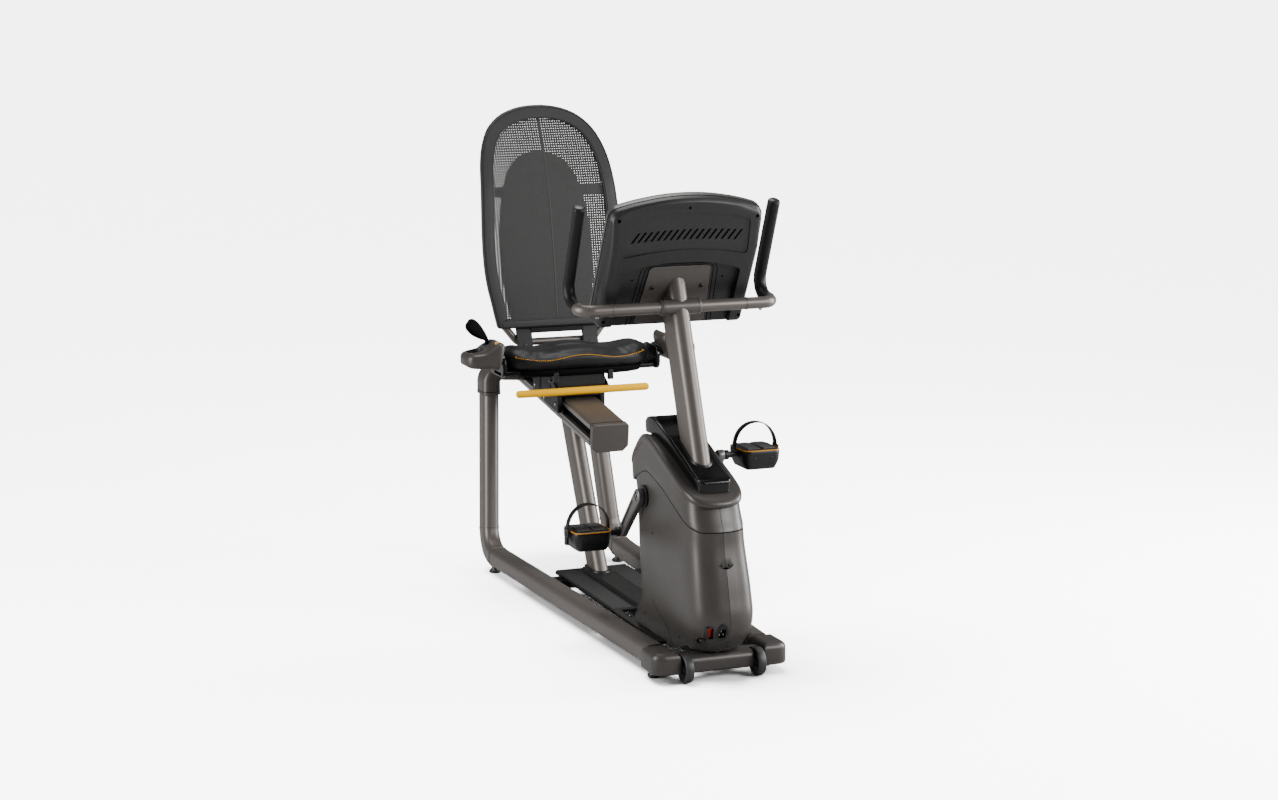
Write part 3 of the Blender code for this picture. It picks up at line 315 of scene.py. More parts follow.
def disc(radius, count=40):
    turns = [2 * math.pi * (i + 0.5) / count for i in range(count)]
    return [Vector((radius * math.cos(a), radius * math.sin(a))) for a in turns]


def axes(along, side):
    """Two unit vectors across along, the first as near to side as it can be."""
    u = (side - along * side.dot(along)).normalized()
    return u, along.cross(u)


def sweep(path, profiles, side=(1, 0, 0)):
    """Rings of a profile along a path. Its first axis stays near side."""
    side = Vector(side)
    rings = []
    for i, p in enumerate(path):
        along = (path[min(i + 1, len(path) - 1)] - path[max(i - 1, 0)]).normalized()
        u, v = axes(along, side)
        profile = profiles[i] if isinstance(profiles[0], list) else profiles
        rings.append([p + u * q[0] + v * q[1] for q in profile])
    return rings


def between(profile, at, along, side, *planes):
    """Rings where a straight tube meets planes, each a (point, normal)."""
    along = Vector(along).normalized()
    u, v = axes(along, Vector(side))
    rings = []
    for point, normal in planes:
        point, normal = Vector(point), Vector(normal)
        ring = []
        for q in profile:
            start = Vector(at) + u * q[0] + v * q[1]
            ring.append(start + along * ((point - start).dot(normal) / along.dot(normal)))
        rings.append(ring)
    return rings


def box(low, high):
    (x0, y0, z0), (x1, y1, z1) = low, high
    ring = ((x0, y0), (x1, y0), (x1, y1), (x0, y1))
    return loft([[(x, y, z) for x, y in ring] for z in (z0, z1)])


def turned(profile, centre, axis=(1, 0, 0), count=40):
    """A solid of revolution from (distance along the axis, radius) pairs."""
    axis = Vector(axis).normalized()
    u = axis.orthogonal().normalized()
    v = axis.cross(u)
    rings = []
    for along, radius in profile:
        rings.append([Vector(centre) + axis * along + u * p.x + v * p.y
            for p in disc(max(radius, 1e-4), count)])
    return loft(rings)


def ring_of(profile, centre, axis=(1, 0, 0), count=48):
    """A ring about an axis from a closed loop of (distance along it, radius) pairs."""
    axis = Vector(axis).normalized()
    u = axis.orthogonal().normalized()
    v = axis.cross(u)
    rings = []
    for i in range(count):
        a = 2 * math.pi * i / count
        out = u * math.cos(a) + v * math.sin(a)
        rings.append([Vector(centre) + axis * x + out * r for x, r in profile])
    return loft(rings, wrap=True)


def extruded(outline, x0, x1):
    return loft([[(x, y, z) for y, z in outline] for x in (x0, x1)])


def table(value, knots):
    if value <= knots[0][0]:
        return knots[0][1]
    for (a, fa), (b, fb) in zip(knots, knots[1:]):
        if value <= b:
            return fa + (fb - fa) * (value - a) / (b - a)
    return knots[-1][1]


def spline(points, steps, closed=False):
    """A smooth line through the points."""
    points = [Vector(p) for p in points]
    count = len(points)
    out = []
    for i in range(count if closed else count - 1):
        if closed:
            a, b, c, d = (points[(i + k) % count] for k in (-1, 0, 1, 2))
        else:
            b, c = points[i], points[i + 1]
            a = points[i - 1] if i else b * 2 - c
            d = points[i + 2] if i + 2 < count else c * 2 - b
        for k in range(steps):
            t = k / steps
            out.append(((b * 2) + (c - a) * t + (a * 2 - b * 5 + c * 4 - d) * t * t
                + (b * 3 - a - c * 3 + d) * t ** 3) * 0.5)
    return out if closed else out + [points[-1]]


def smooth_grid(rows, down, across, closed=False):
    """A finer grid through the rows and columns of a coarse one."""
    rows = [spline(row, across, closed) for row in rows]
    columns = [spline([row[c] for row in rows], down) for c in range(len(rows[0]))]
    return [[column[r] for column in columns] for r in range(len(columns[0]))]


def inset(points, distance):
    """A closed 2D loop moved inwards. The loop runs anticlockwise."""
    out = []
    for i, p in enumerate(points):
        before = (p - points[i - 1]).normalized()
        after = (points[(i + 1) % len(points)] - p).normalized()
        normal = Vector((-before.y, before.x)) + Vector((-after.y, after.x))
        out.append(p + normal.normalized() * distance)
    return out


def tube(path, radius, side=(0, 0, 1), count=12, closed=False):
    if closed:
        path = [Vector(p) for p in path]
        rings = []
        for i, p in enumerate(path):
            along = (path[(i + 1) % len(path)] - path[i - 1]).normalized()
            u, v = axes(along, Vector(side))
            rings.append([p + u * q.x + v * q.y for q in disc(radius, count)])
        return loft(rings, wrap=True)
    return loft(sweep([Vector(p) for p in path], disc(radius, count), side))


def capsule(a, b, radius, count=10):
    """A short rod with round ends."""
    a, b = Vector(a), Vector(b)
    along = (b - a).normalized()
    length = (b - a).length
    profile = [(radius * (1 - math.cos(t)), radius * math.sin(t)) for t in (0.05, 0.6, 1.1, 1.57)]
    profile += [(length - x, r) for x, r in reversed(profile)]
    return turned(profile, a, along, count)


def build(name, shape):
    points, faces = shape
    mesh = bpy.data.meshes.new(name)
    mesh.from_pydata([Vector(p) + SHIFT for p in points], [], faces)
    work = bmesh.new()
    work.from_mesh(mesh)
    bmesh.ops.remove_doubles(work, verts=work.verts, dist=1e-6)
    bmesh.ops.recalc_face_normals(work, faces=work.faces)
    work.to_mesh(mesh)
    work.free()
    item = bpy.data.objects.new(name, mesh)
    bpy.context.scene.collection.objects.link(item)
    return item


def baked(item):
    """Replaces an object's mesh by what its modifiers make of it."""
    graph = bpy.context.evaluated_depsgraph_get()
    mesh = bpy.data.meshes.new_from_object(item.evaluated_get(graph))
    item.modifiers.clear()
    item.data = mesh
    return item


def carve(item, *shapes):
    """Cuts shapes out of an object for good."""
    tools = []
    for shape in shapes:
        tool = build("tool", shape)
        modifier = item.modifiers.new("cut", "BOOLEAN")
        modifier.operation, modifier.solver, modifier.object = "DIFFERENCE", "EXACT", tool
        tools.append(tool)
    baked(item)
    for tool in tools:
        bpy.data.objects.remove(tool, do_unlink=True)
    return item


def dress(item, finish, body="frame", replaces=None, slot=None, bevel=0.0, segments=3, angle=32):
    """Gives a built object its finish, soft edges, body and the CAD node it stands for. Its slot
    is not used.
    """
    item.data.materials.clear()
    item.data.materials.append(finish)
    item.data.shade_smooth()
    if bevel:
        modifier = item.modifiers.new("soft edges", "BEVEL")
        modifier.width, modifier.segments = bevel, segments
        modifier.limit_method, modifier.angle_limit = "ANGLE", math.radians(angle)
        modifier.harden_normals = True
    else:
        item.data.set_sharp_from_angle(angle=math.radians(angle))
    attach(item, body)
    if replaces:
        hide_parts(replaces)
    return item


def piece(name, shape, finish, body="frame", replaces=None, **more):
    return dress(build(name, shape), finish, body, replaces, **more)


def tree_of(*items):
    """A search tree over the built surfaces, in the CAD source's lengths."""
    points, faces = [], []
    graph = bpy.context.evaluated_depsgraph_get()
    for item in items:
        mesh = item.evaluated_get(graph).data
        base = len(points)
        points += [v.co - SHIFT for v in mesh.vertices]
        faces += [tuple(base + i for i in p.vertices) for p in mesh.polygons]
    return BVHTree.FromPolygons(points, faces)


def hit(tree, start, heading):
    found = tree.ray_cast(Vector(start), Vector(heading).normalized())
    return (found[0], found[1]) if found[0] is not None else (Vector(start), Vector(heading) * -1)


def screw(name, at, normal, radius, finish=STEEL, body="frame", slot=None, height=0.0015,
        socket=0.5):
    """A button-head screw with a round socket."""
    profile = [(-0.001, radius * 0.96), (0, radius), (height * 0.5, radius * 0.96),
        (height * 0.85, radius * 0.8), (height, radius * 0.62), (height, radius * socket),
        (height * 0.2, radius * socket * 0.9)]
    return piece(name, turned(profile, at, normal, 24), finish, body, slot=slot, angle=50)


# ---------------------------------------------------------------- base frame
def bead(path, index, profile, side, grow=0.0014, half=0.0035):
    """A weld bead or moulded ring round a tube."""
    along = (path[index + 1] - path[index - 1]).normalized()
    centre = path[index]
    u, v = axes(along, Vector(side))
    rings = []
    for offset, more in ((-half, -0.001), (-half * 0.6, grow), (half * 0.6, grow), (half, -0.001)):
        rings.append([centre + along * offset + u * q.x * (1 + more / 0.028) + v * q.y
            * (1 + more / 0.028) for q in profile])
    return loft(rings)


def pillow(outline_at, low, high, round_low, round_high, steps=6):
    """Rings of a slab whose lower and upper edges are rounded. outline_at(inset) gives a ring."""
    turns = [math.pi / 2 * k / steps for k in range(steps + 1)]
    shaped = [(low + round_low * (1 - math.sin(a)), round_low * (1 - math.cos(a)))
        for a in reversed(turns)]
    shaped += [(high - round_high * (1 - math.sin(a)), round_high * (1 - math.cos(a)))
        for a in turns]
    return [[(p.x, p.y, z) for p in outline_at(move)] for z, move in shaped]


for side_name, sx in SIDES:
    start, corner = Vector((sx * 0.1465, -0.4997, 0.054)), Vector((sx * 0.2005, 0.752, 0.054))
    top = Vector((sx * 0.166, 0.847, 0.5245))
    bend = fillet([start, corner, top], [0, 0.095, 0], 24)
    path = [bend[0], start.lerp(corner, 0.88)] + bend[1:]
    flat, deep = rounded(0.059, 0.056, 0.018), rounded(0.05, 0.076, 0.021)
    mixes = [0, 0] + [min(1.0, k / 24 * 1.08) for k in range(25)] + [1.0]
    profiles = [[p.lerp(q, m) for p, q in zip(flat, deep)] for m in mixes]
    rings = sweep(path, profiles)
    for p in rings[0]:
        p.y = start.y
    for p in rings[-1]:
        p.z = top.z
    piece(f"rail_{side_name}_tube", loft(rings), PAINT, replaces=f"rail_{side_name}", angle=40)
    piece(f"rail_{side_name}_weld_low", bead(path, 2, profiles[2], (1, 0, 0)), PAINT)
    piece(f"rail_{side_name}_weld_high", bead(path, len(path) - 3, profiles[-3], (1, 0, 0)), PAINT)

    quad = [Vector(p) for p in ((0.116, -0.608), (0.189, -0.608), (0.1865, -0.5), (0.116, -0.5))]

    def cap_outline(move):
        moved = inset(quad, move * math.sqrt(2))
        ring = fillet(moved, [0.003, 0.032 - move, 0.003, 0.003], 10, closed=True)
        return [Vector((sx * p.x, p.y)) for p in ring]

    piece(f"front_cap_{side_name}_moulding", loft(pillow(cap_outline, 0.0255, 0.0825, 0.005,
        0.017)), SHELL, replaces=f"front_cap_{side_name}", angle=50)

profile = panel(-0.607, 0.026, -0.538, 0.07, [0.006, 0.006, 0.014, 0.018], 8)
bar = build("front_crossbar_tube", extruded(profile, -0.1157, 0.1157))
carve(bar, *[turned(((sx * WHEEL_AT.x - 0.0135, 0.0425), (sx * WHEEL_AT.x + 0.0135, 0.0425)),
    (0, WHEEL_AT.y, WHEEL_AT.z)) for sx in (-1, 1)])
dress(bar, SHELL, replaces="front_crossbar", slot="frame_metal", bevel=0.0008, angle=40)

for side_name, sx in SIDES:
    centre = Vector((sx * WHEEL_AT.x, WHEEL_AT.y, WHEEL_AT.z))
    tread = [(-0.0105, 0.0295), (-0.011, 0.032), (-0.0108, 0.0345), (-0.0095, 0.0364),
        (-0.007, 0.0375), (0.007, 0.0375), (0.0095, 0.0364), (0.0108, 0.0345), (0.011, 0.032),
        (0.0105, 0.0295)]
    piece(f"transport_wheel_{side_name}_tread", ring_of(tread, centre), TREAD,
        f"wheel_{side_name}", f"transport_wheel_{side_name}", slot="wheel_tyre")
    hub = [(-0.0098, 0.0056), (-0.0104, 0.008), (-0.0104, 0.012), (-0.008, 0.014), (-0.008, 0.025),
        (-0.01, 0.0275), (-0.0102, 0.0297), (0.0102, 0.0297), (0.01, 0.0275), (0.008, 0.025),
        (0.008, 0.014), (0.0104, 0.012), (0.0104, 0.008), (0.0098, 0.0056)]
    piece(f"transport_wheel_{side_name}_hub", ring_of(hub, centre), BLACK, f"wheel_{side_name}",
        angle=45)
    piece(f"transport_wheel_{side_name}_axle", turned(((-0.015, 0.004), (-0.0146, 0.005),
        (0.0146, 0.005), (0.015, 0.004)), centre, count=24), STEEL)
    for arm, x in (("inner", -sx * 0.0128), ("outer", sx * 0.0128)):
        # black fork plates beside the wheel
        outline = [(centre.y + 0.03, 0.066), (centre.y - 0.004, 0.066)]
        outline += [(centre.y - 0.011 * math.cos(a), centre.z - 0.011 * math.sin(a))
            for a in [math.pi * k / 12 for k in range(13)]]
        outline += [(centre.y + 0.03, 0.048)]
        fork = extruded(outline, centre.x + x - 0.0009, centre.x + x + 0.0009)
        piece(f"transport_wheel_{side_name}_fork_{arm}", fork, BLACK)

for place, x, y, top in (("front", 0.155, -0.515, 0.0252), ("rear", 0.1985, 0.7, 0.0255)):
    for side_name, sx in SIDES:
        body = f"foot_{place}_{side_name}"
        at = Vector((sx * x, y, 0))
        base = ((0, 0.015), (0.0008, 0.0172), (0.0035, 0.0185), (0.007, 0.0178), (0.0085, 0.016))
        piece(body + "_pad", turned(base, at, (0, 0, 1)), PAD, body, body)
        cone = ((0.008, 0.016), (0.012, 0.0125), (0.0165, 0.0092), (0.017, 0.0078), (top, 0.0078))
        piece(body + "_cone", turned(cone, at, (0, 0, 1)), STEEL, body)
        nut = [[(at.x + 0.0125 * math.cos(math.radians(60 * k)),
            at.y + 0.0125 * math.sin(math.radians(60 * k)), z) for k in range(6)]
            for z in (0.0185, 0.0245)]
        piece(body + "_nut", loft(nut), STEEL, body, bevel=0.0006)

# Chassis, and the drive inside the housing, keep their CAD shapes.
for node, finish, slot in (("chassis", DARK_STEEL, "steel_dark"),
        ("flywheel", IRON, "flywheel_iron"), ("drive_pulley", STEEL, "steel_bright"),
        ("drive_belt", RUBBER, "belt_rubber")):
    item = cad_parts[node]
    item.data.materials.clear()
    item.data.materials.append(finish)

# Step-through cover: slab, raised spine, ribbed steps, side strips and a ring at the post.
slab = build("step_cover_slab", box((-0.112, -0.086, 0.058), (0.112, 0.396, 0.068)))
dress(slab, BLACK, replaces="step_cover", bevel=0.003, segments=4)
spine = [[(x, y, z) for x, y in ((-half, -0.084), (half, -0.084), (half, rear), (-half, rear))]
    for half, rear, z in ((0.04, 0.385, 0.061), (0.033, 0.379, 0.077))]
piece("step_cover_spine", loft(spine), BLACK, bevel=0.0025, segments=4)
for side_name, sx in SIDES:
    low, high = sorted((sx * 0.045, sx * 0.106))
    piece(f"step_cover_grip_{side_name}", box((low, -0.076, 0.067), (high, 0.386, 0.069)), RIBBED,
        bevel=0.0008)
    low, high = sorted((sx * 0.087, sx * 0.1115))
    piece(f"step_cover_strip_{side_name}", box((low, -0.43, 0.059), (high, -0.07, 0.0672)), GLOSS,
        slot="black_plastic", bevel=0.002, segments=4)
piece("step_cover_rear_border", box((-0.108, 0.387, 0.066), (0.108, 0.3935, 0.0705)), BLACK,
    bevel=0.0015)
POST_LOW, POST_ALONG = Vector((0, 0.3275, 0.058)), Vector((0, 0.192, 0.346))
up = (0, 0, 1)
mono_under = (MONO_FRONT - MONO_UP * 0.0003, MONO_UP)
post = between(oval(0.044, 0.088), POST_LOW, POST_ALONG, (1, 0, 0), ((0, 0, 0.06), up), mono_under)
piece("centre_post_tube", loft(post), PAINT, replaces="centre_post", angle=40)
rings = [between(oval(wide, deep), POST_LOW, POST_ALONG, (1, 0, 0), ((0, 0, z), up))[0]
    for wide, deep, z in ((0.044, 0.088, 0.06), (0.06, 0.104, 0.077), (0.058, 0.102, 0.0815),
    (0.047, 0.091, 0.0815))]
piece("centre_post_ring", loft(rings), BLACK, bevel=0.0008)
weld = [between(oval(0.044 + g, 0.088 + g), POST_LOW, POST_ALONG, (1, 0, 0),
    (MONO_FRONT - MONO_UP * d, MONO_UP))[0] for g, d in ((0.0, 0.008), (0.0022, 0.006),
    (0.0034, 0.0035), (0.004, 0.0005))]
piece("centre_post_weld", loft(weld), PAINT, angle=50)


# ---------------------------------------------------------------- seat monorail
def on_rail(x, along, lift):
    return MONO_FRONT + MONO_ALONG * along + MONO_UP * lift + Vector((x, 0, 0))


def rail_slice(half, along):
    return [on_rail(x, along, lift) for x, lift in mirrored(half)]


upper = ((0.0425, 0.0622), (0.054, 0.0622), (0.054, 0.0745), (0.0525, 0.0752), (0.02, 0.0752))
lower = ((0.04, 0.0003), (0.054, 0.016), (0.054, 0.0345), (0.0425, 0.0345))
ends = (0.0223, MONO_LENGTH - 0.018)
piece("monorail_lower_rail", loft([rail_slice(lower, e) for e in ends]), ALLOY,
    replaces="monorail", bevel=0.0012)
piece("monorail_upper_rail", loft([rail_slice(upper, e) for e in ends]), ALLOY, bevel=0.001)
# The recessed web between the upper and lower rails is painted near-black as shade.
web = ((0.0415, 0.034), (0.0415, 0.063))
piece("monorail_channel_shade", loft([rail_slice(web, e) for e in ends]), DEEP, slot="rail_aluminium")
cover = fillet([(0.0495, 0.075), (0.0495, 0.0818), (0.0, 0.083)], [0, 0.0045, 0], 6)
cover = [(p.x, p.y) for p in cover[:-1]]
piece("monorail_top_cover", loft([rail_slice(cover, e) for e in ends]), COVER, angle=50)
for side_name, sx in SIDES:
    line = [on_rail(sx * 0.0541, ends[0] + 0.002, 0.025), on_rail(sx * 0.0541, ends[1], 0.025)]
    piece(f"monorail_line_{side_name}", tube(line, 0.0007), DEEP, slot="rail_aluminium")
for place, low, high in (("front", 0.0, 0.022), ("rear", MONO_LENGTH - 0.0177,
        MONO_LENGTH + 0.003)):
    corner = ((0.04, -0.001), (0.0555, 0.015), (0.0555, 0.076), (0.05, 0.082))
    cap = build(f"monorail_cap_{place}_moulding", loft([rail_slice(corner, low),
        rail_slice(corner, high)]))
    dress(cap, TRIM, replaces=f"monorail_cap_{place}", bevel=0.0024, segments=4)
    edge = rail_slice(corner, high + 0.0004 if place == "front" else low - 0.0004)
    piece(f"monorail_cap_{place}_seam", tube(edge, 0.0006, MONO_ALONG, closed=True), DEEP,
        slot="housing_grey")

for side_name, sx in SIDES:
    foot, corner = Vector((sx * 0.166, 0.8472, 0.525)), Vector((sx * 0.1625, 0.86, 0.593))
    end = Vector((sx * 0.056, 0.878, 0.583))
    path = fillet([foot, corner, end], [0, 0.036, 0], 18)
    upright, flat = rounded(0.084, 0.058, 0.02), rounded(0.088, 0.05, 0.014)
    mixes = [min(1, k / 18) for k in range(len(path))]
    rings = sweep(path, [[p.lerp(q, m) for p, q in zip(upright, flat)] for m in mixes], (0, 1, 0))
    for p in rings[-1]:
        p.x = sx * 0.0545
    for p in rings[0]:
        p.z = foot.z
    piece(f"upright_collar_{side_name}_moulding", loft(rings), TRIM,
        replaces=f"upright_collar_{side_name}", bevel=0.0018, angle=50)
    lip = sweep([foot, foot + Vector((0, 0, 0.004))], rounded(0.086, 0.06, 0.021), (0, 1, 0))
    for ring, z in zip(lip, (0.5247, 0.53)):
        for p in ring:
            p.z = z
    piece(f"upright_collar_{side_name}_lip", loft(lip), TRIM, bevel=0.0014)
    groove = [Vector((p.x, p.y, 0.5345)) for p in sweep([foot, foot + Vector((0, 0, 0.004))],
        rounded(0.0845, 0.0585, 0.0205), (0, 1, 0))[0]]
    piece(f"upright_collar_{side_name}_groove", tube(groove, 0.0006, closed=True), DEEP,
        slot="housing_grey")


# ---------------------------------------------------------------- drive housing
def plan_half(front, rear, wide_front, wide_rear):
    """Half of the housing's plan outline, from its front to its rear centre."""
    mid = -0.47
    points = [(0.0, front), (0.42 * wide_front, front + 0.004), (0.74 * wide_front, front + 0.018),
        (0.93 * wide_front, front + 0.046), (wide_front, front + 0.09)]
    start, stop = front + 0.09, rear - 0.026
    for k in (1, 2, 3, 4, 5):
        y = start + (stop - start) * k / 5
        t = max(0.0, (y - mid) / (stop - mid))
        points.append((wide_front + (wide_rear - wide_front) * t, y))
    return points + [(wide_rear * 0.93, rear - 0.009), (wide_rear * 0.78, rear), (0.0, rear)]


def shell_rows(move):
    rows = []
    for row, (z, front, rear, wide_front, wide_rear) in enumerate(LOWER):
        ring = []
        moved = plan_half(front + move, rear - move, wide_front - move, wide_rear - move)
        for (_, y), (x, moved_y) in zip(plan_half(front, rear, wide_front, wide_rear), moved):
            if row == 0:
                height = table(y, FOOTLINE)
            elif row == 1:
                height = max(z, table(y, FOOTLINE) + 0.012)
            elif row == len(LOWER) - 1:
                height = table(y, SEAM) - 0.001
            elif row == len(LOWER) - 2:
                height = z + (table(y, SEAM) - 0.39) * 0.6
            else:
                height = z
            ring.append(Vector((max(x, 0.0004), moved_y, height)))
        rows.append(ring)
    return rows


def lens(centre, width, height, steps=14):
    """An eye-shaped outline, in X and Z."""
    radius = (width ** 2 / 4 + height ** 2 / 4) / height
    out = []
    for sign in (1, -1):
        for k in range(steps):
            x = -width / 2 * math.cos(math.pi * k / steps) * sign
            out.append((centre[0] + x, centre[1] + sign * (math.sqrt(max(radius ** 2 - x ** 2, 0))
                - radius + height / 2)))
    return out


outer, inner = smooth_grid(shell_rows(0.0), 4, 4), smooth_grid(shell_rows(0.0045), 4, 4)
shells = []
for side_name, sx in SIDES:
    grids = [[[Vector((sx * max(p.x, 0.0004), p.y, p.z)) for p in row] for row in grid]
        for grid in (outer, inner)]
    shell = build(f"shell_{side_name}_moulding", thick(*grids))
    cuts = [turned(((sx * 0.05, 0.0225), (sx * 0.1, 0.0225)), CRANK_AXIS)]
    cuts.append(loft([[(x, y, z) for x, z in lens((0, 0.3085), 0.044, 0.02)]
        for y in (-0.7, -0.6205)]))
    smile = lens((sx * 0.0165, 0.077), 0.021, 0.0085)
    cuts.append(loft([[(x, y, z) for x, z in smile] for y in (-0.7, -0.6085)]))
    if sx < 0:
        cuts.append(box((-0.0612, -0.7, 0.1248), (-0.0448, -0.57, 0.1532)))
        cuts.append(turned(((-0.7, 0.0084), (-0.57, 0.0084)), (RESET_AT.x, 0, RESET_AT.z),
            (0, 1, 0)))
        cuts.append(box((-0.0338, -0.7, 0.12), (-0.0082, -0.57, 0.1525)))
    carve(shell, *cuts)
    dress(shell, SHELL, replaces=f"shell_{side_name}", bevel=0.0009, segments=2, angle=42)
    shells.append(shell)
skin = tree_of(*shells)

for side_name, sx in SIDES:
    # A thin dark line of painted shade follows the crease where each side turns into the lower
    # front.
    crease_shade = []
    for p in spline([(-0.3, 0.15, 0), (-0.326, 0.129, 0), (-0.37, 0.113, 0), (-0.4, 0.103, 0),
            (-0.412, 0.076, 0), (-0.417, 0.055, 0)], 5):
        crease_shade.append(hit(skin, (sx * 0.3, p.x, p.y), (-sx, 0, 0))[0])
    piece(f"shell_{side_name}_crease", tube(crease_shade, 0.0005, (1, 0, 0)), DEEP, slot="housing_grey")
    for number, (y, z) in enumerate(((-0.226, 0.09), (-0.489, 0.092), (-0.3, 0.33))):
        at, normal = hit(skin, (sx * 0.3, y, z), (-sx, 0, 0))
        normal = normal if normal.x * sx > 0 else -normal
        rim = ring_of([(-0.001, 0.003), (0.0004, 0.0034), (0.0004, 0.0048), (-0.001, 0.0052)], at,
            normal, 28)
        piece(f"shell_{side_name}_hole_rim_{number}", rim, SHELL)
        # The inside of each hole is a dark disc of painted shade.
        hole_shade_disc = turned(((-0.001, 0.0035), (0.0002, 0.0032)), at, normal, 24)
        piece(f"shell_{side_name}_hole_{number}", hole_shade_disc, DEEP, slot="housing_grey")
for number, x in enumerate((-0.0105, 0.0105)):
    screw(f"shell_front_screw_{number}", (x, -0.6212, 0.3085), (0, -1, 0.12), 0.0036, DARK_STEEL)
for number, x in enumerate((-0.0165, 0.0165)):
    screw(f"shell_low_screw_{number}", (x, -0.6085, 0.077), (0, -1, -0.3), 0.003, DARK_STEEL)


def ring_full(half):
    """A closed ring from half of it, which starts and ends on the middle plane."""
    return [Vector(p) for p in half] + [Vector((-p[0], *p[1:])) for p in reversed(half[1:-1])]


def shroud_ring(t, front, rear, wide_front, wide_rear, rise=0.0):
    ring = []
    for x, y in plan_half(front, rear, wide_front, wide_rear):
        low, high = table(y, SEAM) + 0.001, table(y, LIP)
        ring.append((x, y, low + (high - low) * t + rise))
    return spline(ring_full(ring), 4, closed=True)


# Each row: share of the way from seam to lip, front, rear, half-widths there, rise.
stages = [(0.0, -0.605, -0.15, 0.0786, 0.0733, 0.0), (0.02, -0.606, -0.148, 0.079, 0.0735, 0.0),
    (0.06, -0.605, -0.131, 0.079, 0.0745, 0.0), (0.2, -0.599, -0.128, 0.0784, 0.0745, 0.0),
    (0.35, -0.592, -0.126, 0.0777, 0.0745, 0.0), (0.55, -0.585, -0.125, 0.077, 0.0745, 0.0),
    (0.7, -0.58, -0.1245, 0.0766, 0.0745, 0.0), (0.76, -0.5788, -0.124, 0.0765, 0.0745, 0.0),
    (0.775, -0.579, -0.124, 0.0768, 0.0746, 0.0), (0.785, -0.585, -0.1235, 0.079, 0.0752, 0.0),
    (0.8, -0.5885, -0.123, 0.0803, 0.0758, 0.0), (0.84, -0.5908, -0.1226, 0.0812, 0.0762, 0.0),
    (0.9, -0.5912, -0.1225, 0.0814, 0.0762, 0.0), (0.95, -0.5905, -0.1228, 0.0811, 0.076, 0.0),
    (0.985, -0.5885, -0.1238, 0.0803, 0.0752, 0.0), (1.0, -0.586, -0.125, 0.079, 0.074, 0.0008),
    (1.0, -0.582, -0.1285, 0.0765, 0.0715, 0.0022), (1.0, -0.574, -0.134, 0.07, 0.0665, 0.003),
    (1.0, -0.566, -0.16, 0.056, 0.056, 0.003), (1.0, -0.545, -0.2, 0.042, 0.042, 0.0032),
    (1.0, -0.51, -0.29, 0.028, 0.028, 0.0032)]
outside = [shroud_ring(*stage) for stage in stages]
inside = [shroud_ring(t, f + 0.004, r - 0.004, a - 0.004, b - 0.004, rise - 0.003 * (t == 1.0))
    for t, f, r, a, b, rise in stages]
shroud = piece("top_shroud_moulding", thick(outside, inside, wrap=True), SHELL,
    replaces="top_shroud", angle=48)
shroud_skin = tree_of(shroud)
split = [hit(shroud_skin, (0, -0.9, 0.3925 + 0.0665 * k / 12), (0, 1, 0))[0] for k in range(13)]
piece("top_shroud_seam", tube(split, 0.0005, (1, 0, 0), 8), DEEP, slot="housing_grey")

# Boot round the mast, with a tray behind it. Each row: y, bottom, top, half-width.
BOOT = ((-0.556, 0.4862, 0.5075, 0.033), (-0.5555, 0.4862, 0.512, 0.035),
    (-0.553, 0.4866, 0.516, 0.0385), (-0.548, 0.488, 0.519, 0.043),
    (-0.54, 0.4905, 0.5215, 0.0465), (-0.52, 0.496, 0.5275, 0.0485), (-0.49, 0.507, 0.537, 0.0495),
    (-0.44, 0.525, 0.5565, 0.05), (-0.385, 0.544, 0.5795, 0.051), (-0.34, 0.562, 0.599, 0.053),
    (-0.29, 0.579, 0.62, 0.0555), (-0.262, 0.586, 0.631, 0.058), (-0.235, 0.588, 0.635, 0.06),
    (-0.215, 0.587, 0.63, 0.0605), (-0.204, 0.587, 0.62, 0.06), (-0.2, 0.587, 0.609, 0.059))
rings = []
for y, low, high, half in BOOT:
    edge = min(0.0035, (high - low) * 0.4)
    arc = fillet([(half * 0.96, low), (half, high), (0, high)], [0, edge, 0], 6)[:-1]
    rings.append(mirrored([(p.x, y, p.y) for p in arc]))
boot = build("mast_boot_moulding", loft(rings))
socket = between(oval(0.052, 0.108), MAST_AT, MAST_DIR, (1, 0, 0), ((0, 0, 0.42), up),
    ((0, 0, 0.68), up))
tray = [[(x * w, y, z + dz) for x, y, z in ((-1, -0.338, 0.599), (1, -0.338, 0.599),
    (1, -0.27, 0.627), (0.93, -0.222, 0.634), (-0.93, -0.222, 0.634), (-1, -0.27, 0.627))]
    for w, dz in ((0.04, -0.024), (0.052, 0.012))]
carve(boot, loft(socket), loft(tray))
dress(boot, GLOSS, replaces="mast_boot", bevel=0.0012, angle=40)
boot_skin = tree_of(boot)
for name, grow, lift in (("groove", 0.011, 0.0004), ("edge", 0.006, 0.0012)):
    slope = Vector((0, -0.088, 0.2)).normalized()
    rings = []
    for g, d in ((grow - 0.0035, -0.002), (grow - 0.0035, lift), (grow - 0.0022, lift + 0.0012),
            (grow - 0.0008, lift), (grow - 0.0008, -0.002)):
        rings.append(between(oval(0.05 + g, 0.106 + g), MAST_AT, MAST_DIR, (1, 0, 0),
            (Vector((0, -0.49, 0.537)) + slope * d, slope))[0])
    piece(f"mast_boot_{name}", loft(rings, wrap=True), BLACK, slot="gloss_black", angle=60)
# Along each top edge of the gloss black boot runs a thin light line of painted highlight.
for side_name, sx in SIDES:
    line = [hit(boot_skin, (sx * x, y, 0.9), (0, 0, -1))[0]
        for x, y in ((0.044, -0.54), (0.0425, -0.5), (0.0415, -0.45), (0.043, -0.4),
        (0.0445, -0.345))]
    piece(f"mast_boot_highlight_line_{side_name}", tube(spline(line, 6), 0.0006), PAINTED_EDGE_HIGHLIGHT,
        slot="gloss_black")


# ---------------------------------------------------------------- mast and handlebar
def on_console(x, lift, out):
    return CONSOLE_LOW + Vector((x, 0, 0)) + CONSOLE_UP * lift + CONSOLE_OUT * out


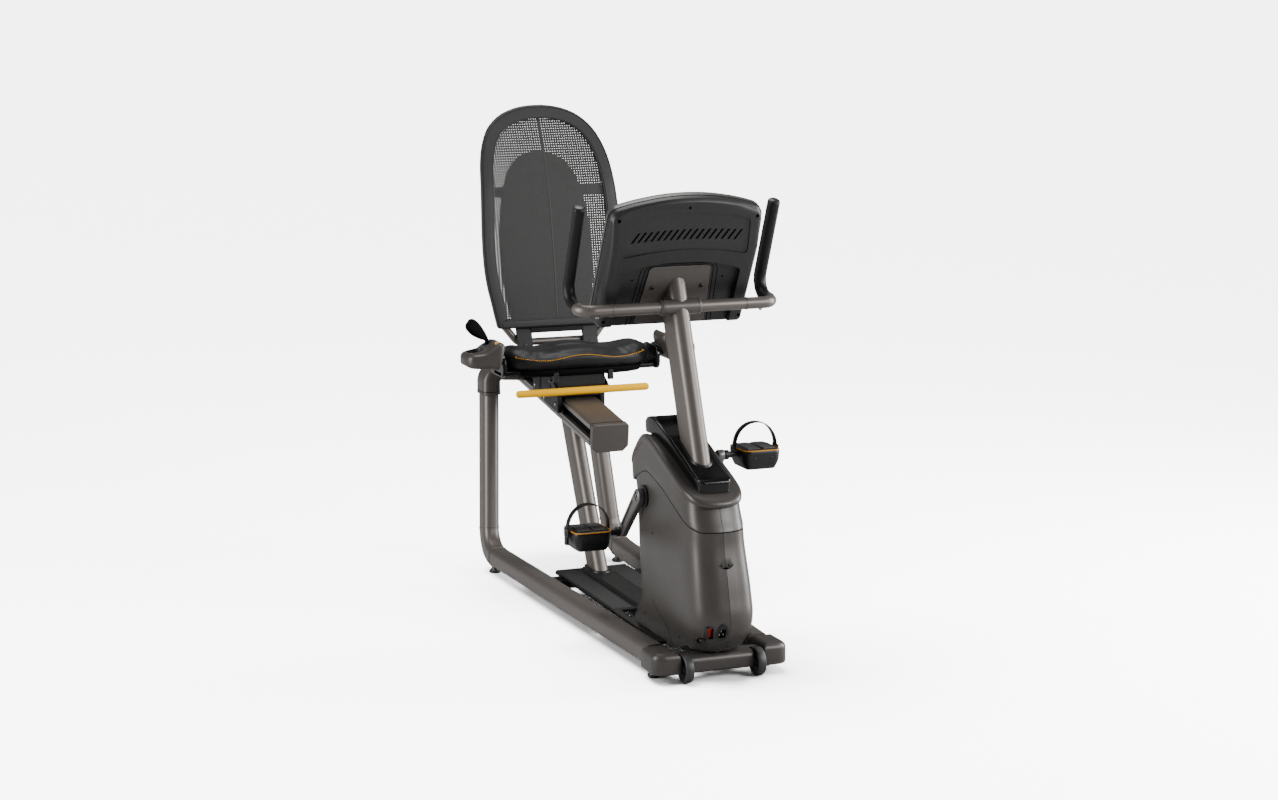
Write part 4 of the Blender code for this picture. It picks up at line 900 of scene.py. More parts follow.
PLATE_OUT = 0.035
mast = build("mast_tube", loft(between(oval(0.05, 0.106), MAST_AT, MAST_DIR, (1, 0, 0),
    ((0, 0, 0.36), up), (on_console(0, 0, PLATE_OUT - 0.001), CONSOLE_OUT))))
carve(mast, turned(((-0.06, 0.0216), (0.06, 0.0216)), BAR_AT))
dress(mast, PAINT, replaces="mast", angle=38)
outline = fillet([(-0.1, 0.012), (0.1, 0.012), (0.086, 0.192), (-0.086, 0.192)],
    [0.004, 0.004, 0.014, 0.014], 8, closed=True)
plate = loft([[on_console(p.x, p.y, out) for p in outline] for out in (0.0303, PLATE_OUT)])
piece("mast_plate", plate, TRIM, slot="frame_metal", bevel=0.0012)
for side_name, sx in SIDES:
    screw(f"mast_plate_screw_{side_name}", on_console(sx * 0.07, 0.127, PLATE_OUT), CONSOLE_OUT,
        0.006, DARK_STEEL, height=0.0042, socket=0.45)

knots = [(-0.274, -0.259, 0.938), (-0.274, -0.3, 0.935), (0.274, -0.3, 0.935),
    (0.274, -0.259, 0.938)]
points = fillet(knots, [0, 0.0365, 0.0365, 0], 18)
rings = sweep(points, disc(0.016, 36), (0, 0, 1))
for p in rings[0] + rings[-1]:
    p.y = -0.259
piece("handlebar_tube", loft(rings), PAINT, replaces="handlebar")
sleeve = [(-0.0565, 0.0158), (-0.056, 0.02), (-0.055, 0.021), (-0.05, 0.021), (-0.0495, 0.0202),
    (-0.048, 0.0202), (-0.0475, 0.0209), (0.0475, 0.0209), (0.048, 0.0202), (0.0495, 0.0202),
    (0.05, 0.021), (0.055, 0.021), (0.056, 0.02), (0.0565, 0.0158)]
piece("handlebar_sleeve", turned(sleeve, BAR_AT), TRIM, slot="frame_metal", angle=45)
for side_name, sx in SIDES:
    rim = [(sx * 0.19 - 0.002, 0.015), (sx * 0.19 - 0.0015, 0.017), (sx * 0.19 + 0.0015, 0.017),
        (sx * 0.19 + 0.002, 0.015)]
    piece(f"handlebar_ring_{side_name}", ring_of(rim, BAR_AT), PAINT)
    screw(f"handlebar_bolt_{side_name}", (sx * 0.232, -0.3, 0.9195), (0, 0, -1), 0.005,
        height=0.005)
    knots = [(0.274, -0.2585, 0.938), (0.274, -0.18, 0.952), (0.275, -0.287, 1.207)]
    path = fillet([(sx * x, y, z) for x, y, z in knots], [0, 0.045, 0], 20)
    tip, along = path[-1], (path[-1] - path[-2]).normalized()
    path = path[:-1] + [tip - along * d for d in (0.008, 0.006, 0.004, 0.002, 0.0004)]
    radii = [0.0172] * (len(path) - 5) + [0.0172, 0.0171, 0.0167, 0.0157, 0.0138]
    radii[0] = 0.0165
    rings = sweep(path, [disc(r, 32) for r in radii])
    for p in rings[0]:
        p.y = -0.2585
    piece(f"handle_grip_{side_name}_foam", loft(rings), RUBBER,
        replaces=f"handle_grip_{side_name}", slot="grip_rubber", angle=50)
    piece(f"handle_grip_{side_name}_end", turned(((-0.001, 0.0125), (0.0006, 0.0122),
        (0.0012, 0.011), (0.0013, 0.0002)), tip, along), BLACK, slot="grip_rubber")
    collar = ring_of([(-0.002, 0.0162), (-0.0015, 0.0178), (0.0015, 0.0178), (0.002, 0.0162)],
        (sx * 0.274, -0.2587, 0.938), (0, 1, 0.15))
    piece(f"handle_grip_{side_name}_collar", collar, BLACK, slot="grip_rubber")


# ---------------------------------------------------------------- console
CREASE = 0.25  # height on the console where its back starts to slope in


def console_ring(shrink, out):
    """Symmetric outline from the bottom centre, round the +X side, to the arched top."""
    right = fillet([(0.0, shrink - 0.001), (0.212 - shrink, shrink), (0.2134 - shrink, CREASE),
        (0.214 - shrink, 0.347 - 0.724 * shrink), (0.15 - 0.252 * shrink, 0.368 - 0.968 * shrink),
        (0.06 - 0.106 * shrink, 0.3855 - 0.994 * shrink), (0.0, 0.3868 - shrink)],
        [0, max(0.016 - shrink * 0.5, 0.004), 0, max(0.03 - shrink * 0.6, 0.01), 0.5, 0.5, 0], 10)
    return ring_full([on_console(p.x, p.y, out(p.y) if callable(out) else out) for p in right])


def proud(up):
    return table(up, ((0.0, 0.046), (CREASE, 0.046), (0.36, 0.016)))


def console_grid(xs, low, high, rows, lift):
    """Points on the back of the console between two heights that are functions of x."""
    grid = []
    for r in range(rows + 1):
        heights = [low(x) + (high(x) - low(x)) * r / rows for x in xs]
        grid.append([on_console(x, h, proud(h) + lift) for x, h in zip(xs, heights)])
    return grid


def edge_out(share):
    """Out of the console at a share of the way from the rim's side to its full height."""
    return lambda up: 0.01 + (proud(up) - 0.01) * share


rim_rings = [(0.0, -0.01), (0.0, 0.004), (0.0008, 0.0072), (0.0024, 0.0092),
    (0.004, edge_out(0.35)), (0.0055, edge_out(0.62)), (0.008, edge_out(0.82)),
    (0.0115, edge_out(0.94)), (0.016, edge_out(1.0)), (0.023, proud)]
case = build("console_back_moulding", bridged([console_ring(*r) for r in rim_rings]))
ARCH_X = [0.15 - 0.3 * k / 20 for k in range(21)]
corners = fillet([(-0.168, -0.05), (0.168, -0.05), (0.168, 0.184)]
    + [(x, 0.214 - 0.024 * (x / 0.15) ** 2) for x in ARCH_X] + [(-0.168, 0.184)],
    [0, 0, 0.014] + [0] * len(ARCH_X) + [0.014], 6)


def panel_foot(x):
    """Lower edge of the sunken upper panel, which is the upper edge of the arched band."""
    return 0.252 - 0.026 * (x / 0.19) ** 2 + round_off(x)


def panel_head(x):
    return 0.35 - 0.02 * (x / 0.168) ** 2 - round_off(x)


def round_off(x, half=0.176, radius=0.012):
    """How much a round corner takes off the panel's height at x."""
    beyond = max(0.0, abs(x) - (half - radius))
    return radius - math.sqrt(max(radius ** 2 - beyond ** 2, 0.0))


WIDE = [0.176 * math.sin(math.pi / 2 * (k / 32 - 1)) for k in range(65)]
carve(case, loft([[on_console(x, lift, out) for x, lift in corners] for out in (0.03, 0.09)]),
    thick(console_grid(WIDE, panel_foot, panel_head, 14, 0.012),
    console_grid(WIDE, panel_foot, panel_head, 14, -0.003)),
    turned(((-0.02, 0.0042), (0.02, 0.0042)), on_console(0.0, 0.363, 0.016), CONSOLE_OUT, 24),
    *[turned(((-0.012, 0.005), (0.03, 0.005)), on_console(sx * 0.1935, lift, 0.026), CONSOLE_OUT,
    24) for sx in (-1, 1) for lift in (0.03, 0.334)])
vents = []
for k in range(17):
    x, lift = (k - 8) * 0.018, 0.278 - 0.006 * ((k - 8) / 8) ** 2
    slot_line = ((x - 0.0135, lift), (x - 0.0065, lift), (x + 0.0135, lift + 0.027),
        (x + 0.0065, lift + 0.027))
    vents.append(loft([[on_console(px, h, proud(h) + out) for px, h in slot_line]
        for out in (-0.012, 0.012)]))
carve(case, *vents)
dress(case, HOUSING, replaces="console_back", bevel=0.0014, segments=3, angle=40)
NARROW = [-0.158 + 0.316 * k / 20 for k in range(21)]
# A dark sheet of painted shade lies just inside the vent slots.
piece("console_back_vent_shade", thick(console_grid(NARROW, lambda x: 0.265, lambda x: 0.312, 4,
    -0.007), console_grid(NARROW, lambda x: 0.265, lambda x: 0.312, 4, -0.0085)), DEEP)
for number, grow in enumerate((0.01, 0.021)):
    outline = fillet([(-0.1 - grow, -0.02), (-0.086 - grow, 0.192 + grow * 0.6)]
        + [(0.086 + grow, 0.192 + grow * 0.6), (0.1 + grow, -0.02)],
        [0, 0.016 + grow, 0.016 + grow, 0], 8)
    line = [on_console(p.x, max(p.y, 0.004), 0.0301) for p in outline]
    piece(f"console_back_line_{number}", tube(line, 0.001, CONSOLE_OUT, 8), DEEP)
for side_name, sx in SIDES:
    for number, lift in enumerate((0.03, 0.334)):
        screw(f"console_back_screw_{side_name}_{number}", on_console(sx * 0.1935, lift, 0.014),
            CONSOLE_OUT, 0.0034, DARK_STEEL, slot="console_grey")
    # Dark discs of painted shade stand for two holes on each side of the back.
    for number, (x, lift) in enumerate(((0.128, 0.06), (0.128, 0.15))):
        piece(f"console_back_hole_{side_name}_{number}", turned(((0, 0.0034), (0.0004, 0.003)),
            on_console(sx * x, lift, 0.03), CONSOLE_OUT, 20), DEEP)
screw("console_back_top_screw", on_console(0.0, 0.363, 0.0085), CONSOLE_OUT, 0.0032, DARK_STEEL,
    slot="console_grey")
for number, (low, high) in enumerate(((0.06, 0.082), (0.09, 0.104), (0.112, 0.126))):
    ring = [on_console(0.2134, p.x, p.y) for p in panel(low, -0.006, high, 0.003, 0.003, 4)]
    outer_ring = [p + Vector((0.001, 0, 0)) for p in ring]
    piece(f"console_port_{number}", loft([ring, outer_ring]), DEEP)

FRONT = [(0.018, -0.034), (0.012, -0.0339), (0.007, -0.0326), (0.0035, -0.0295), (0.0012, -0.024),
    (0.0, -0.018), (0.0, -0.0103)]
piece("console_gap_line", tube(console_ring(0.0006, -0.0085), 0.0016, CONSOLE_OUT, 8, closed=True),
    DEEP)
piece("console_bezel", bridged([console_ring(*r) for r in FRONT]), TRIM, replaces="console_front",
    slot="screen_black", angle=45)


def face_pad(name, x0, x1, low, high, radius, out, thickness, finish, slot):
    """A rounded plate on the rider's side of the console."""
    outline = panel(x0, low, x1, high, radius, 6)
    rings = [[on_console(p.x, p.y, -out - t) for p in inset(outline, move)]
        for t, move in ((0, 0), (thickness * 0.7, 0), (thickness, thickness * 0.4))]
    return piece(name, loft(rings), finish, slot=slot)


face_pad("console_screen", -0.176, 0.176, 0.1, 0.352, 0.02, 0.0338, 0.0014, GLASS, "screen_black")
face_pad("console_key_panel", -0.176, 0.176, 0.024, 0.09, 0.014, 0.0338, 0.001, BLACK,
    "screen_black")
for number in range(7):
    x = (number - 3) * 0.046
    key = ((0, 0.013), (0.0014, 0.0126), (0.0019, 0.0112), (0.0019, 0.0002))
    piece(f"console_key_{number}", turned(key, on_console(x, 0.057, -0.0346), -CONSOLE_OUT, 32),
        ORANGE if number == 3 else HOUSING, slot="screen_black")

# ---------------------------------------------------------------- controls on the housing
inlet = build("power_inlet_moulding", loft([[(p.x, y, p.y) for p in panel(-0.0338, 0.1197, -0.0082,
    0.1523, [0.008, 0.008, 0.003, 0.003], 6)] for y in (-0.645, -0.615)]))
mouth = [[(p.x, y, p.y) for p in panel(-0.0305, 0.1235, -0.0115, 0.1488,
    [0.007, 0.007, 0.002, 0.002], 6)] for y in (-0.7, -0.632)]
carve(inlet, loft(mouth))
dress(inlet, BLACK, replaces="power_inlet", bevel=0.0008)
for number, (x, z) in enumerate(((-0.0265, 0.133), (-0.0155, 0.133), (-0.021, 0.142))):
    piece(f"power_inlet_pin_{number}", box((x - 0.0011, -0.644, z - 0.0026),
        (x + 0.0011, -0.631, z + 0.0026)), STEEL, bevel=0.0004)
rocker = [(-0.6385, 0.1275), (-0.62, 0.1275), (-0.62, 0.1505), (-0.6425, 0.1505),
    (-0.6395, 0.1445), (-0.6365, 0.139), (-0.6372, 0.133)]
piece("power_switch_rocker", extruded(rocker, -0.0595, -0.0465), RED, "power_switch",
    "power_switch", bevel=0.0008)
frame_out = panel(-0.064, 0.1225, -0.043, 0.1555, 0.0025, 4)
frame_in = panel(-0.0602, 0.1258, -0.0458, 0.1531, 0.001, 4)


def front_at(x, z):
    return hit(skin, (x, -0.9, z), (0, 1, 0))[0].y


rings = [[Vector((p.x, min(front_at(p.x, p.y), -0.6) + out, p.y)) for p in loop]
    for loop, out in ((frame_out, 0.004), (frame_out, -0.0012), (frame_in, -0.0016),
    (frame_in, 0.004))]
level = min(p.y for p in rings[1])
for ring, y in zip(rings, (level + 0.022, level + 0.0006, level, level + 0.022)):
    for p in ring:
        p.y = y
piece("power_switch_frame", loft(rings, wrap=True), BLACK, angle=40)
# An egg-shaped bezel lies on the housing round the inlet.
slant = (front_at(-0.0045, 0.138) - front_at(-0.0375, 0.138)) / 0.033
lean = (front_at(-0.021, 0.16) - front_at(-0.021, 0.1165)) / 0.0435
middle = (front_at(-0.0045, 0.138) + front_at(-0.0375, 0.138)) / 2
bezel = []
for size, power, out in ((1, 1, 0.006), (1, 1, -0.001), (0, 0.4, -0.0014), (0, 0.4, 0.012)):
    ring = []
    for k in range(48):
        a = 2 * math.pi * k / 48
        wide, high = (0.017, 0.026 if math.sin(a) > 0 else 0.0205) if size else (0.0098, 0.013)
        x = -0.021 + math.copysign(abs(math.cos(a)) ** power, math.cos(a)) * wide
        z = 0.1362 + math.copysign(abs(math.sin(a)) ** power, math.sin(a)) * high
        ring.append((x, middle + slant * (x + 0.021) + lean * (z - 0.138) + out, z))
    bezel.append(ring)
piece("power_inlet_bezel", loft(bezel, wrap=True), BLACK, angle=40)
piece("reset_button_ring", ring_of([(-0.032, 0.0086), (-0.032, 0.0102), (0.0026, 0.0102),
    (0.0034, 0.0096), (0.003, 0.0086)], RESET_AT, (0, -1, 0)), BLACK)
cap = ((0.0, 0.0058), (0.01, 0.0064), (0.0195, 0.0064), (0.0208, 0.0058), (0.0212, 0.0042),
    (0.0206, 0.0002))
piece("reset_button_cap", turned(cap, RESET_AT, (0, -1, 0), 32), BLACK, "reset_button",
    "reset_button")

# ---------------------------------------------------------------- cranks and pedals
boss = [(0.0764, 0.0106), (0.0764, 0.029), (0.077, 0.03), (0.0815, 0.03), (0.0828, 0.029),
    (0.0832, 0.0272)]
piece("crank_spindle", turned([(-x, r) for x, r in reversed(boss)] + boss, CRANK_AXIS, count=56),
    BLACK, "cranks", "spindle", angle=30)
for side_name, sx in SIDES:
    reach = Vector((0, math.cos(CRANK_ANGLE), -math.sin(CRANK_ANGLE))) * -sx * CRANK_LENGTH
    end = CRANK_AXIS + reach
    along, side = reach.normalized(), Vector((sx, 0, 0))
    across = Vector((0, -along.z, along.y))
    rings = []
    for x_in, x_out, grow in ((0.0838, 0.0838, -0.002), (0.0843, 0.0843, -0.0006),
            (0.0855, 0.0855, 0), (0.0985, 0.1008, 0), (0.0996, 0.1022, -0.0008),
            (0.1004, 0.1032, -0.0026), (0.1006, 0.1036, -0.0045)):
        hub = half_turn(CRANK_AXIS, 0.021 + grow, math.pi / 2, along, across, 18)
        tip = half_turn(end, 0.015 + grow, -math.pi / 2, along, across, 18)
        rings.append([p + side * x_in for p in hub] + [p + side * x_out for p in tip])
    arm = build(f"crank_{side_name}_arm", loft(rings))
    pocket = (half_turn(CRANK_AXIS + along * 0.036, 0.0105, math.pi / 2, along, across, 10)
        + half_turn(end - along * 0.03, 0.0075, -math.pi / 2, along, across, 10))
    carve(arm, loft([[p + side * x for p in pocket] for x in (0.0988, 0.112)]),
        turned(((0.0945, 0.012), (0.12, 0.012)), CRANK_AXIS, side))
    dress(arm, CRANK, "cranks", f"crank_{side_name}", bevel=0.001, angle=35)
    bolt = [(0.094, 0.0095), (0.0985, 0.0095), (0.0993, 0.0085), (0.0993, 0.005), (0.0965, 0.0045)]
    piece(f"crank_{side_name}_bolt", turned(bolt, CRANK_AXIS, side, 36), STEEL, "cranks")
    piece(f"crank_{side_name}_pedal_nut", turned(((0.1, 0.008), (0.104, 0.008), (0.1044, 0.0074)),
        end, side, 6), STEEL, "cranks")

    body = f"pedal_{side_name}"
    centre = end + side * 0.195
    outline = panel(-0.054, -0.054, 0.054, 0.058, [0.022, 0.022, 0.014, 0.014], 8)
    levels = ((-0.038, 0.015), (-0.0372, 0.0128), (-0.034, 0.0108), (-0.018, 0.003),
        (-0.006, 0.001), (0.006, 0.0), (0.013, 0.0006), (0.0155, 0.002), (0.017, 0.005),
        (0.0172, 0.0085))
    block = build(f"pedal_{side_name}_body", loft([[centre + Vector((sx * p.x, p.y, z))
        for p in inset(outline, shrink)] for z, shrink in levels]))
    carve(block, *[loft([[centre + Vector((sx * x, y, z)) for x, y in ((low, -0.044),
        (high, -0.044), (high, 0.048), (low, 0.048))] for z in (0.013, 0.03)])
        for low, high in ((-0.041, -0.004), (0.004, 0.041))])
    dress(block, BLACK, body, f"pedal_{side_name}", bevel=0.001, angle=40)
    for number in range(12):
        # two columns of tread blocks
        row, column = divmod(number, 2)
        low = -0.0405 + row * 0.0152
        x0 = -0.0395 if column == 0 else 0.005
        rings = [[centre + Vector((sx * x, y, z)) for x, y in ((x0 + g, low + g),
            (x0 + 0.0345 - g, low + g), (x0 + 0.0345 - g, low + 0.0112 - g),
            (x0 + g, low + 0.0112 - g))] for z, g in ((0.0125, 0), (0.0185, 0), (0.0203, 0.0015))]
        piece(f"pedal_{side_name}_tread_{number}", loft(rings), TREAD, body, bevel=0.0006)
    line = [centre + Vector((sx * p.x, p.y, 0.0147)) for p in inset(outline, 0.0012)]
    piece(f"pedal_{side_name}_edge_line", tube(line, 0.0013, closed=True), ORANGE, body)
    axle = ((0.1045, 0.012), (0.106, 0.013), (0.115, 0.013), (0.116, 0.012), (0.116, 0.009),
        (0.15, 0.009))
    piece(f"pedal_{side_name}_axle", turned(axle, end, side, 36), DARK_STEEL, body)
    for number, dx in enumerate((-0.024, 0.024)):
        screw(f"pedal_{side_name}_screw_{number}", centre + Vector((sx * dx, -0.0522, -0.006)),
            (0, -1, -0.1), 0.0036, DARK_STEEL, body)

    strap_mid = [(0.058, -0.024, 0)]
    for k in range(15):
        a = math.pi * k / 14
        start = 0.002 if k < 7 else 0.0125
        strap_mid.append((0.0585 * math.cos(a), start + (0.082 - start) * math.sin(a) ** 0.82, 0))
    strap_mid = spline(strap_mid, 4)
    strap = []
    for i, p in enumerate(strap_mid):
        before, after = strap_mid[max(i - 1, 0)], strap_mid[min(i + 1, len(strap_mid) - 1)]
        heading = (after - before).normalized()
        normal = Vector((-heading.y, heading.x))
        ring = []
        for away, width in ((0.0003, -0.0125), (0, -0.0118), (0, 0.0118), (0.0003, 0.0125),
                (0.0019, 0.0125), (0.0022, 0.0118), (0.0022, -0.0118), (0.0019, -0.0125)):
            ring.append(centre + Vector((sx * (p.x - normal.x * away), 0.004 + width,
                p.y - normal.y * away)))
        strap.append(ring)
    piece(f"pedal_strap_{side_name}_band", loft(strap), RUBBER, body, f"pedal_strap_{side_name}",
        angle=50)
    ribs = []
    for i in range(8, len(strap_mid) - 6, 3):
        p, heading = strap_mid[i], (strap_mid[i + 1] - strap_mid[i - 1]).normalized()
        normal = Vector((-heading.y, heading.x))
        out = centre + Vector((sx * (p.x - normal.x * 0.0023), 0.004, p.y - normal.y * 0.0023))
        ribs.append(capsule(out - Vector((0, 0.0085, 0)), out + Vector((0, 0.0085, 0)), 0.0007, 8))
    piece(f"pedal_strap_{side_name}_ribs", joined(*ribs), RUBBER, body)
    buckle = build(f"pedal_strap_{side_name}_buckle", box(centre
        + Vector((sx * 0.06 - 0.003, -0.0125, -0.004)), centre
        + Vector((sx * 0.06 + 0.003, 0.0205, 0.02))))
    dress(buckle, BLACK, body, bevel=0.0018)
    piece(f"pedal_strap_{side_name}_tongue", box(centre + Vector((sx * 0.0625 - 0.0012, -0.007,
        -0.026)), centre + Vector((sx * 0.0625 + 0.0012, 0.015, 0.012))), RUBBER, body,
        bevel=0.0008)

# ---------------------------------------------------------------- seat carriage
def carriage_ring(y):
    low = MONO_FRONT.z + (y - MONO_FRONT.y) * math.tan(SLOPE)
    half = ((0.0745, 0.632), (0.0745, low + 0.042), (0.0605, low + 0.042), (0.0605, low + 0.0885))
    return [(x, y, z) for x, z in mirrored(half)]


piece("carriage_block", loft([carriage_ring(0.474), carriage_ring(0.7)]), BLACK, "seat",
    "carriage", bevel=0.003, segments=4)
LEVER_PIVOT, LEVER_BAR = Vector((0, 0.508, 0.612)), Vector((0, 0.458, 0.587))
piece("carriage_pivot", turned(((-0.088, 0.0028), (-0.0876, 0.0038), (0.0876, 0.0038),
    (0.088, 0.0028)), LEVER_PIVOT, count=28), STEEL, "seat")
for side_name, sx in SIDES:
    for number, (y, z) in enumerate(((0.493, 0.545), (0.594, 0.548), (0.679, 0.572))):
        screw(f"carriage_bolt_{side_name}_{number}", (sx * 0.0745, y, z), (sx, 0, 0), 0.0062,
            STEEL, "seat", height=0.0035, socket=0.45)
    for number, (y, width) in enumerate(((0.56, 0.052), (0.65, 0.04))):
        low, high = sorted((sx * 0.0744, sx * 0.0765))
        piece(f"carriage_tab_{side_name}_{number}", box((low, y - width / 2, 0.57),
            (high, y + width / 2, 0.625)), CHARCOAL, "seat", bevel=0.0009)
    for place, along in (("front", 0.268), ("rear", 0.43)):
        wheel = ((-0.0075, 0.005), (-0.0075, 0.0108), (-0.0068, 0.012), (-0.0055, 0.0129),
            (0.0055, 0.0129), (0.0068, 0.012), (0.0075, 0.0108), (0.0075, 0.005))
        name = f"roller_{place}_{side_name}"
        piece(name + "_wheel", turned(wheel, on_rail(sx * 0.0515, along, 0.048)), BLACK, name,
            name)
bar = [(-0.206, 0.0034), (-0.2051, 0.0063), (-0.2033, 0.0088), (-0.2001, 0.0104), (-0.1955, 0.011),
    (-0.09, 0.011)]
piece("release_lever_bar", turned(mirrored(bar), LEVER_BAR, count=48), YELLOW, "release_lever",
    "release_lever", angle=50)
for side_name, sx in SIDES:
    rise = (LEVER_PIVOT - LEVER_BAR).normalized()
    flat = Vector((0, -rise.z, rise.y))
    outline = (half_turn(LEVER_BAR, 0.008, math.pi / 2, rise, flat, 12)
        + half_turn(LEVER_PIVOT, 0.0095, -math.pi / 2, rise, flat, 12))
    blade = extruded([(p.y, p.z) for p in outline], sx * 0.0786, sx * 0.0834)
    piece(f"release_lever_blade_{side_name}", blade, DARK_STEEL, "release_lever", bevel=0.0008)

# ---------------------------------------------------------------- seat pan and cushion
pan_half = [(0.0, 0.452), (0.11, 0.455), (0.165, 0.466), (0.196, 0.49), (0.2, 0.56), (0.186, 0.64),
    (0.14, 0.7), (0.0, 0.704)]
pan = [spline(ring_full([(x * s, y0 + (0.58 - y0) * (1 - s), z) for x, y0 in pan_half]), 4,
    closed=True) for z, s in ((0.6323, 0.925), (0.6335, 0.95), (0.638, 0.985), (0.641, 0.995),
    (0.649, 1.0), (0.6512, 0.996), (0.652, 0.985))]
piece("seat_pan_moulding", loft(pan), DEEP, "seat", "seat_pan", slot="gloss_black", angle=50)
for side_name, sx in SIDES:
    piece(f"seat_pan_wing_{side_name}", box((sx * 0.2 - 0.0445, 0.478, 0.639),
        (sx * 0.2 + 0.0445, 0.545, 0.651)), GLOSS, "seat", bevel=0.0015)
    end_plate = panel(0.46, 0.636, 0.586, 0.703, [0.022, 0.022, 0.026, 0.026], 8)
    low, high = sorted((sx * 0.2336, sx * 0.2445))
    piece(f"seat_pan_end_{side_name}", extruded([(p.x, p.y) for p in end_plate], low, high), GLOSS,
        "seat", bevel=0.003, segments=4)
    piece(f"seat_pan_stop_{side_name}", box((sx * 0.085 - 0.0075, 0.45, 0.616),
        (sx * 0.085 + 0.0075, 0.464, 0.645)), BLACK, "seat", bevel=0.001)


def cushion_top(x, y):
    """Height of the cushion: a crown between the legs, a hollow for each, raised sides."""
    across = abs(x) / 0.232
    waves = 0.006 * math.cos(math.pi * across / 0.5) + 0.012 * across ** 4
    return 0.705 + waves - 0.01 * max(0.0, (0.5 - y) / 0.06)


def cushion_outline(shrink, count=96):
    points = []
    for k in range(count):
        a = -math.pi / 2 + 2 * math.pi * k / count
        cx, cy = math.cos(a), math.sin(a)
        points.append(Vector((math.copysign(abs(cx) ** 0.62, cx) * (0.232 - shrink),
            math.copysign(abs(cy) ** 0.62, cy) * (0.1085 - shrink) + 0.5485)))
    return points


def edge_dip(x):
    """How far the cushion's front edge falls at the middle of each thigh."""
    return 0.006 * math.cos(math.pi * abs(x) / 0.116)


slack = 0.0035  # the pad swells by about this much
rings = []
for shrink, z, wave in ((0.034, 0.6528, 0), (0.014, 0.6555, 0), (0.004, 0.664, 0.2),
        (0.001, 0.674, 0.5), (0.0, 0.683, 0.8), (0.003, 0.693, 0.9)):
    rings.append([(p.x, p.y, z + wave * 0.7 * edge_dip(p.x))
        for p in cushion_outline(shrink + slack)])
for shrink, drop in ((0.01, 0.0055), (0.018, 0.002), (0.032, 0.0), (0.05, -0.001), (0.07, -0.001),
        (0.094, -0.001)):
    rings.append([(p.x, p.y, cushion_top(p.x, p.y) - drop - slack)
        for p in cushion_outline(shrink + slack)])
cushion = build("seat_cushion_pad", bridged(rings))
remesh = cushion.modifiers.new("even mesh", "REMESH")
remesh.mode, remesh.voxel_size = "VOXEL", 0.0055
baked(cushion)
start = [v.co.copy() for v in cushion.data.vertices]
cloth = cushion.modifiers.new("stuffing", "CLOTH")
cloth.settings.use_pressure = True
cloth.settings.uniform_pressure_force = 4.0
cloth.settings.effector_weights.gravity = 0.0
cloth.settings.tension_stiffness = cloth.settings.compression_stiffness = 25.0
cloth.settings.bending_stiffness = 1.5
for step in range(1, 21):
    bpy.context.scene.frame_set(step)
baked(cushion)
bpy.context.scene.frame_set(1)
LONGEST = 0.0075  # how far the stuffing may push the skin
for v, origin in zip(cushion.data.vertices, start):
    moved = v.co - origin
    if moved.length > LONGEST:
        v.co = origin + moved * (LONGEST / moved.length)
    v.co.z = max(v.co.z, 0.6526)
relax = cushion.modifiers.new("relax", "SMOOTH")
relax.factor, relax.iterations = 0.5, 6
finer = cushion.modifiers.new("finer", "SUBSURF")
finer.levels = finer.render_levels = 1
baked(cushion)
dress(cushion, VINYL, "seat", "seat_cushion", angle=80)
pad = tree_of(cushion)


def seam_line(height):
    """Points round the front and ends of the cushion, on its skin, with their normals."""
    found = []
    for k in range(-400, 401):
        x = k / 400 * 0.262
        if abs(x) < 0.2:
            start, heading = (x, 0.3, height(x)), (0, 1, 0)
        else:
            turn = (abs(x) - 0.2) / 0.062 * math.pi / 2
            start = (math.copysign(0.2 + 0.2 * math.sin(turn), x), 0.48 - 0.2 * math.cos(turn),
                height(x))
            heading = (-math.copysign(math.sin(turn), x), math.cos(turn), 0)
        at, normal = hit(pad, start, heading)
        if at.y < 0.6:
            found.append((at, normal if normal.dot(Vector(heading)) < 0 else -normal))
    return found


def seam_height(x):
    return 0.6905 + 0.006 * math.cos(math.pi * min(abs(x), 0.232) / 0.116)


line = seam_line(seam_height)
piece("seat_cushion_seam", tube([p for p, n in line], 0.0009, (0, 0, 1), 8), BLACK, "seat",
    slot="cushion_vinyl")
STITCH_PITCH, STITCH_REACH, STITCH_RADIUS = 0.0066, 0.0014, 0.00155
stitches, travelled = [], 0.0
line = seam_line(lambda x: seam_height(x) - 0.0034)
for (a, na), (b, nb) in zip(line, line[1:]):
    before, travelled = travelled, travelled + (b - a).length
    if int(travelled / STITCH_PITCH) > int(before / STITCH_PITCH):
        along = (b - a).normalized()
        middle = a + na * 0.0007
        stitches.append(capsule(middle - along * STITCH_REACH, middle + along * STITCH_REACH,
            STITCH_RADIUS))
piece("seat_cushion_stitches", joined(*stitches), THREAD, "seat")

